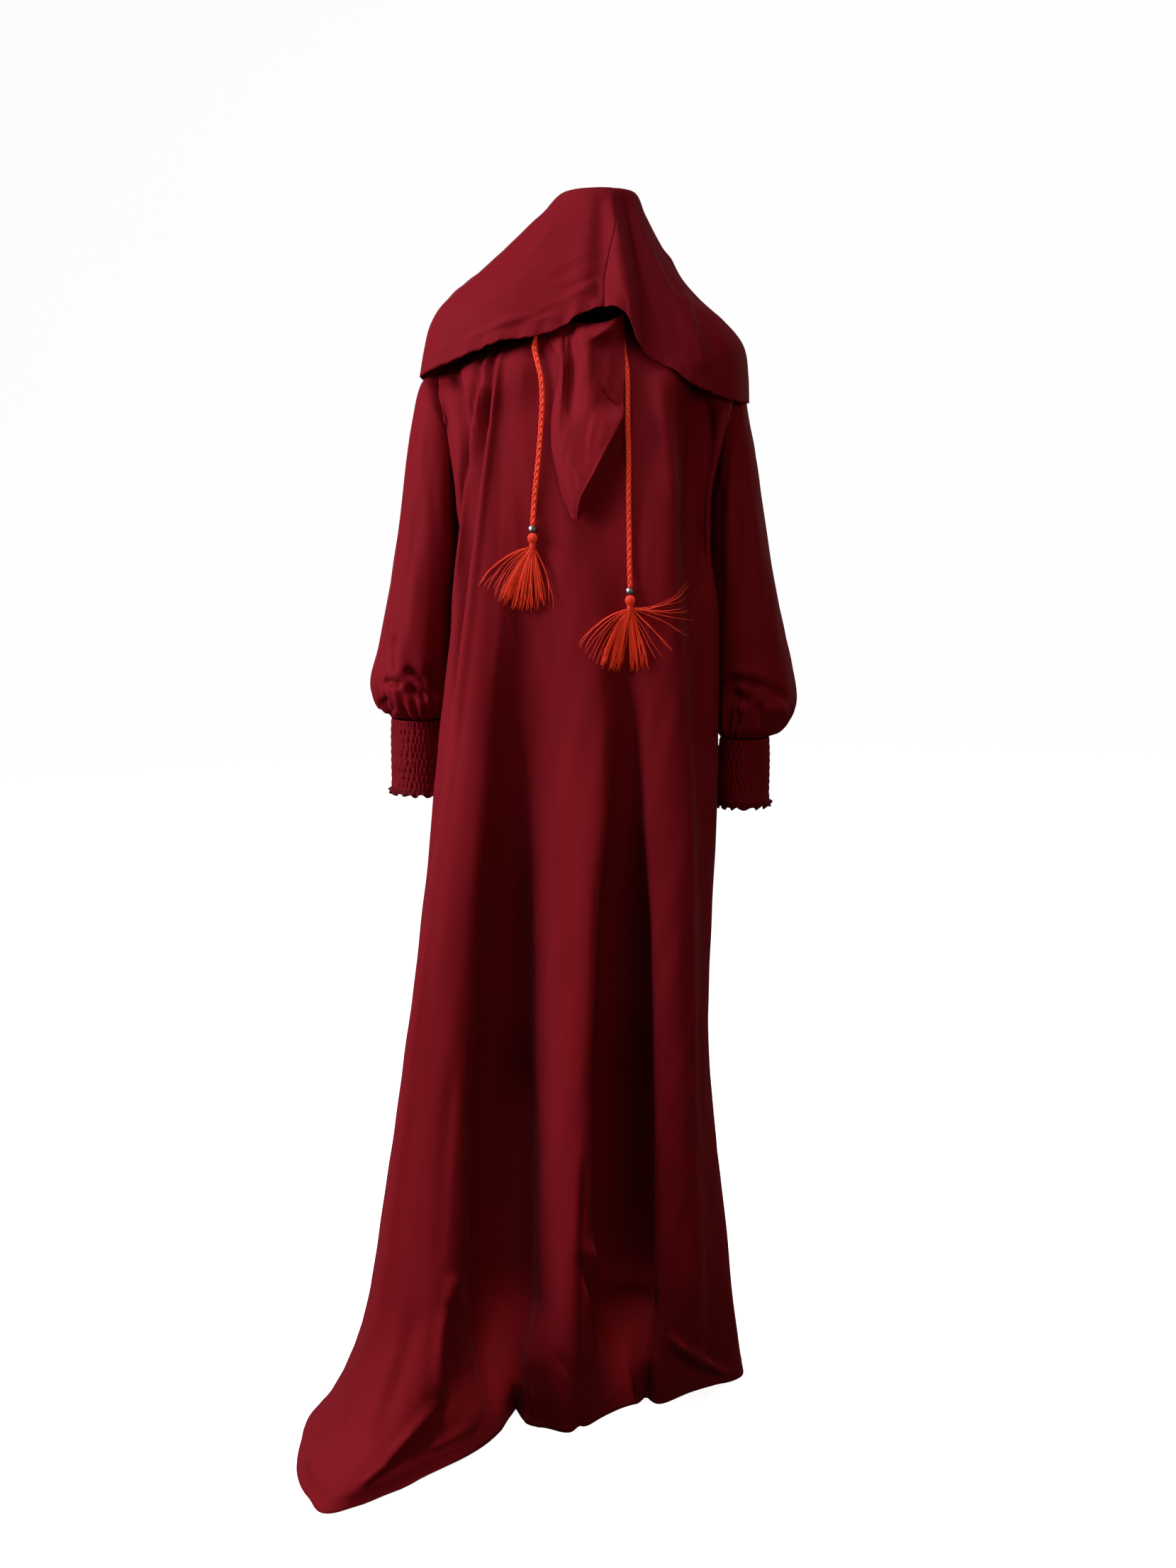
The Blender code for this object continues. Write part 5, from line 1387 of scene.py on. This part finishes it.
CHIN_CREASES = (
    Crease(19, -129, 27, -142, 1.8, 3, 0),
    Crease(25, -140, 43, -148, 2, 3.5, 1),
    Crease(-29, -34, -28.5, -74, 1.6, 1.6, 0),
    Crease(-8, -72, -6, -93, 3, 1.4, 0),
    Crease(-25, -216, -8, -250, 3, -1.2, 1),
    Crease(9, -160, 1, -215, 4, -1.4, 1),
)


def chin_piece(name, cloth):
    """The folded chin piece: its rolled collar, the hollow below it and its point over the chest."""
    table = np.array([tuple(zip(*section)) for section in CHIN]) / MM_PER_METRE
    rows, columns = table.shape[:2]
    down = curve_through(np.arange(rows), table, np.linspace(0, rows - 1, CHIN_ROWS))
    places = np.linspace(0, columns - 1, CHIN_COLUMNS)
    points = curve_through(np.arange(columns), down.swapaxes(0, 1), places)
    across, fallen = running_lengths(points, False)
    moved = rippled(across, fallen, 71, pitch=0.02, height=0.0003, lean=0.5)
    moved += pressed(points, CHIN_CREASES)
    points = points + grid_normals(points, False) * moved[..., None]
    hem = np.minimum(across, fallen[:, -1:] - fallen) + cloth.stitch_depth * 0.35
    return sheet_with_wall(name, points, cloth, hem, stitched=False)


def fluted_bead(name, place, hole):
    """A fluted metal bead with a hole of this radius."""
    thick = (BEAD_RADIUS - hole * 0.72) / 2
    bpy.ops.object.select_all(action="DESELECT")
    bpy.ops.mesh.primitive_torus_add(
        major_segments=2 * FLUTES, minor_segments=BEAD_SIDES, major_radius=BEAD_RADIUS - thick,
        minor_radius=thick, location=place,
    )
    bead = bpy.context.object
    bead.name = bead.data.name = name
    bpy.ops.object.mode_set(mode="EDIT")
    body = bmesh.from_edit_mesh(bead.data)
    for number, vertex in enumerate(body.verts):
        outer = math.hypot(vertex.co.x, vertex.co.y) > BEAD_RADIUS - thick * 0.9
        vertex.select = bool(outer and (number // BEAD_SIDES) % 2)
    body.select_flush_mode()
    bmesh.update_edit_mesh(bead.data)
    bpy.ops.transform.resize(value=(FLUTE_SHARE, FLUTE_SHARE, 1.0), center_override=place)
    bpy.ops.mesh.select_all(action="SELECT")
    bpy.ops.transform.resize(value=(1.0, 1.0, BEAD_HALF_HEIGHT / thick), center_override=place)
    bpy.ops.object.mode_set(mode="OBJECT")
    smooth = bead.modifiers.new("smooth", "SUBSURF")
    smooth.levels = smooth.render_levels = 2
    bpy.ops.object.modifier_apply(modifier=smooth.name)
    bpy.ops.object.shade_smooth()
    bpy.ops.object.transform_apply(location=True, rotation=True, scale=True)
    recess = bead.data.attributes.new("recess", "FLOAT", "POINT")
    reach = np.array([math.hypot(v.co.x - place[0], v.co.y - place[1]) for v in bead.data.vertices])
    recess.data.foreach_set("value", np.clip((FLUTE_TOP - reach) / FLUTE_DEPTH, 0, 1).astype(np.float32))
    bead.data.materials.append(silver(name))
    return bead


# Studio

Lamp = namedtuple("Lamp", "name place size power tint")


def add_camera(stage):
    """The camera, which looks slightly down at the chest."""
    camera = bpy.data.cameras.new("camera")
    camera.sensor_fit = "VERTICAL"
    camera.sensor_width = camera.sensor_height = SENSOR
    camera.lens = FOCAL_SHARE * SENSOR
    eye = bpy.data.objects.new("camera", camera)
    eye.location = (0.0, -stage.camera_distance, FLOOR + stage.camera_height)
    eye.rotation_euler = (math.radians(CAMERA_TILT), 0.0, 0.0)
    bpy.context.scene.collection.objects.link(eye)
    bpy.context.scene.camera = eye


def add_backdrop():
    """A round floor that curves up into a wall, which lights nothing itself."""
    bpy.ops.object.select_all(action="DESELECT")
    bpy.ops.mesh.primitive_circle_add(
        vertices=96, radius=BACKDROP_RADIUS, fill_type="NGON", location=(0, 0, FLOOR)
    )
    floor = bpy.context.object
    floor.name = "floor"
    bpy.ops.object.mode_set(mode="EDIT")
    bpy.ops.mesh.select_all(action="SELECT")
    bpy.ops.mesh.extrude_region_move(TRANSFORM_OT_translate={"value": (0, 0, BACKDROP_HEIGHT)})
    bpy.ops.mesh.delete(type="ONLY_FACE")
    body = bmesh.from_edit_mesh(floor.data)
    for edge in body.edges:
        edge.select = all(vertex.co.z < 0.1 for vertex in edge.verts)
    body.select_flush_mode()
    bmesh.update_edit_mesh(floor.data)
    bpy.ops.mesh.bevel(offset=BACKDROP_SWEEP, segments=12)
    bpy.ops.mesh.select_all(action="SELECT")
    bpy.ops.mesh.normals_make_consistent(inside=True)
    bpy.ops.object.mode_set(mode="OBJECT")
    bpy.ops.object.shade_smooth()
    bpy.ops.object.transform_apply(location=True, rotation=True, scale=True)
    floor.data.materials.append(studio_white("studio_white"))
    floor.visible_diffuse = False
    floor.visible_glossy = False


def hang_lamp(light, place, aim, power, tint):
    """Puts a light at a place, turned towards aim."""
    light.energy = power
    light.color = tint
    lamp = bpy.data.objects.new(light.name, light)
    lamp.location = place
    lamp.rotation_euler = (Vector(aim) - Vector(place)).to_track_quat("-Z", "Y").to_euler()
    bpy.context.scene.collection.objects.link(lamp)


def add_lamps(stage):
    """Soft square lights round the dress and a narrow spot on the hem."""
    for lamp in (
        Lamp("key", (-2.3, -0.88, 0.38), 1.0, stage.key, (1.0, 0.80, 0.98)),
        Lamp("fill", (1.3, -2.7, 0.5), 1.6, stage.fill, (1.0, 0.45, 0.36)),
        Lamp("above", (-0.9, -1.0, 2.2), 1.4, stage.above, (0.92, 0.88, 1.22)),
        Lamp("back", (-0.4, 2.6, 0.3), 1.6, 24.0, (1.0, 0.9, 0.9)),
        Lamp("side", (2.1, 1.7, 0.2), 1.4, 9.0, (1.0, 0.6, 0.55)),
    ):
        light = bpy.data.lights.new(lamp.name, "AREA")
        light.shape = "SQUARE"
        light.size = lamp.size
        hang_lamp(light, lamp.place, LIT_PLACE, lamp.power, lamp.tint)
    light = bpy.data.lights.new("hem", "SPOT")
    light.shadow_soft_size = 0.25
    light.spot_size, light.spot_blend = math.radians(8), 1.0
    hang_lamp(light, (-0.1, -0.75, 2.6), (0.0, -0.24, FLOOR), stage.hem, (1.0, 0.72, 0.66))
    world = bpy.data.worlds.new("studio")
    world.use_nodes = True
    background = world.node_tree.nodes["Background"]
    background.inputs["Color"].default_value = (1.0, 0.98, 0.97, 1.0)
    background.inputs["Strength"].default_value = 0.05
    bpy.context.scene.world = world


# Operators


class DRESS_OT_stage(bpy.types.Operator):
    """Add the camera, the pale floor and backdrop, and the soft studio light"""

    bl_idname = "dress.stage"
    bl_label = "Stage"

    def execute(self, context):
        stage = context.scene.dress_stage
        add_camera(stage)
        add_backdrop()
        add_lamps(stage)
        context.scene.view_settings.view_transform = "Standard"
        return {"FINISHED"}


class DRESS_OT_cords(bpy.types.Operator):
    """Add both plaited drawstring ends"""

    bl_idname = "dress.cords"
    bl_label = "Drawstrings"

    def execute(self, context):
        cords = context.scene.dress_cords
        for side, route in (("right", CORD_RIGHT), ("left", CORD_LEFT)):
            settle(plaited_cord(f"cord_{side}_plait", route, cords), f"cord_{side}")
        return {"FINISHED"}


class DRESS_OT_panels(bpy.types.Operator):
    """Add the front and back panels"""

    bl_idname = "dress.panels"
    bl_label = "Body panels"

    def execute(self, context):
        cloth = context.scene.dress_cloth
        front = body_panel("front_panel_cloth", FRONT_SHEET, 190, 234, FRONT_CREASES, FRONT_NOTCHES, 7, cloth)
        back = body_panel("back_panel_cloth", BACK_SHEET, 132, 190, BACK_CREASES, BACK_NOTCHES, 8, cloth)
        settle(front, "front_panel")
        settle(back, "back_panel")
        return {"FINISHED"}


class DRESS_OT_sleeves(bpy.types.Operator):
    """Add both full sleeves, gathered at the cuffs"""

    bl_idname = "dress.sleeves"
    bl_label = "Sleeves"

    def execute(self, context):
        cloth = context.scene.dress_cloth
        for side, rings, way, creases, seed in (
            ("right", SLEEVE_RIGHT, -1, SLEEVE_CREASES_RIGHT, 101),
            ("left", SLEEVE_LEFT, 1, SLEEVE_CREASES_LEFT, 202),
        ):
            obj = sleeve(f"sleeve_{side}_cloth", rings, way, creases, seed, cloth)
            settle(obj, f"sleeve_{side}")
        return {"FINISHED"}


class DRESS_OT_cuffs(bpy.types.Operator):
    """Add both smocked cuffs"""

    bl_idname = "dress.cuffs"
    bl_label = "Smocked cuffs"

    def execute(self, context):
        cloth = context.scene.dress_cloth
        for side, rings, way, seed in (("right", CUFF_RIGHT, -1, 301), ("left", CUFF_LEFT, 1, 402)):
            obj = cuff(f"cuff_{side}_cloth", rings, way, seed, cloth)
            settle(obj, f"cuff_{side}")
        return {"FINISHED"}


class DRESS_OT_hood(bpy.types.Operator):
    """Add both halves of the hood"""

    bl_idname = "dress.hood"
    bl_label = "Hood"

    def execute(self, context):
        for obj in hood_halves(context.scene.dress_cloth):
            settle(obj, obj.name.removesuffix("_cloth"))
        return {"FINISHED"}


class DRESS_OT_chin(bpy.types.Operator):
    """Add the folded chin piece"""

    bl_idname = "dress.chin"
    bl_label = "Chin piece"

    def execute(self, context):
        obj = chin_piece("chin_drape_cloth", context.scene.dress_cloth)
        settle(obj, "chin_drape")
        return {"FINISHED"}


class DRESS_OT_beads(bpy.types.Operator):
    """Add the fluted metal bead on each cord"""

    bl_idname = "dress.beads"
    bl_label = "Beads"

    def execute(self, context):
        hole = context.scene.dress_cords.diameter / 2
        for side, place in (("right", BEAD_RIGHT), ("left", BEAD_LEFT)):
            settle(fluted_bead(f"bead_{side}_metal", place, hole), f"bead_{side}")
        return {"FINISHED"}


class DRESS_OT_tassels(bpy.types.Operator):
    bl_idname = "dress.tassels"
    bl_label = "Tassels"

    def execute(self, context):
        cords = context.scene.dress_cords
        surface = front_surface()
        for side, knob, strays, core, seed, route, length in (
            ("right", KNOB_RIGHT, STRAYS_RIGHT, (-34, 11), 11, CORD_RIGHT, CORD_LENGTH_RIGHT),
            ("left", KNOB_LEFT, STRAYS_LEFT, (-34, 17), 23, CORD_LEFT, CORD_LENGTH_LEFT),
        ):
            obj = tassel(f"tassel_{side}_threads", knob, strays, core, seed, cords, surface)
            settle(obj, f"tassel_{side}")
            path = along_route(route, CORD_SPACING)[0]
            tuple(route[0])
        return {"FINISHED"}


class DRESS_PT_panel(bpy.types.Panel):
    """Lists the sizes and the pieces of the dress"""

    bl_label = "Prayer dress"
    bl_idname = "DRESS_PT_panel"
    bl_space_type = "VIEW_3D"
    bl_region_type = "UI"
    bl_category = "Prayer dress"

    def draw(self, context):
        for settings in (context.scene.dress_cloth, context.scene.dress_cords, context.scene.dress_stage):
            box = self.layout.box()
            for name in settings.__annotations__:
                box.prop(settings, name)
        for step in STEPS:
            self.layout.operator(step.bl_idname)


SETTINGS = (("dress_cloth", ClothSettings), ("dress_cords", CordSettings), ("dress_stage", StageSettings))
STEPS = (
    DRESS_OT_stage, DRESS_OT_cords, DRESS_OT_beads, DRESS_OT_panels, DRESS_OT_sleeves, DRESS_OT_cuffs,
    DRESS_OT_hood, DRESS_OT_chin, DRESS_OT_tassels,
)


def register():
    for name, group in SETTINGS:
        bpy.utils.register_class(group)
        setattr(bpy.types.Scene, name, bpy.props.PointerProperty(type=group))
    for step in STEPS:
        bpy.utils.register_class(step)
    bpy.utils.register_class(DRESS_PT_panel)


def unregister():
    bpy.utils.unregister_class(DRESS_PT_panel)
    for step in reversed(STEPS):
        bpy.utils.unregister_class(step)
    for name, group in reversed(SETTINGS):
        delattr(bpy.types.Scene, name)
        bpy.utils.unregister_class(group)


def main():
    """Builds every piece in order."""
    register()
    for step in STEPS:
        group, name = step.bl_idname.split(".")
        getattr(getattr(bpy.ops, group), name)()


if __name__ == "__main__":
    main()
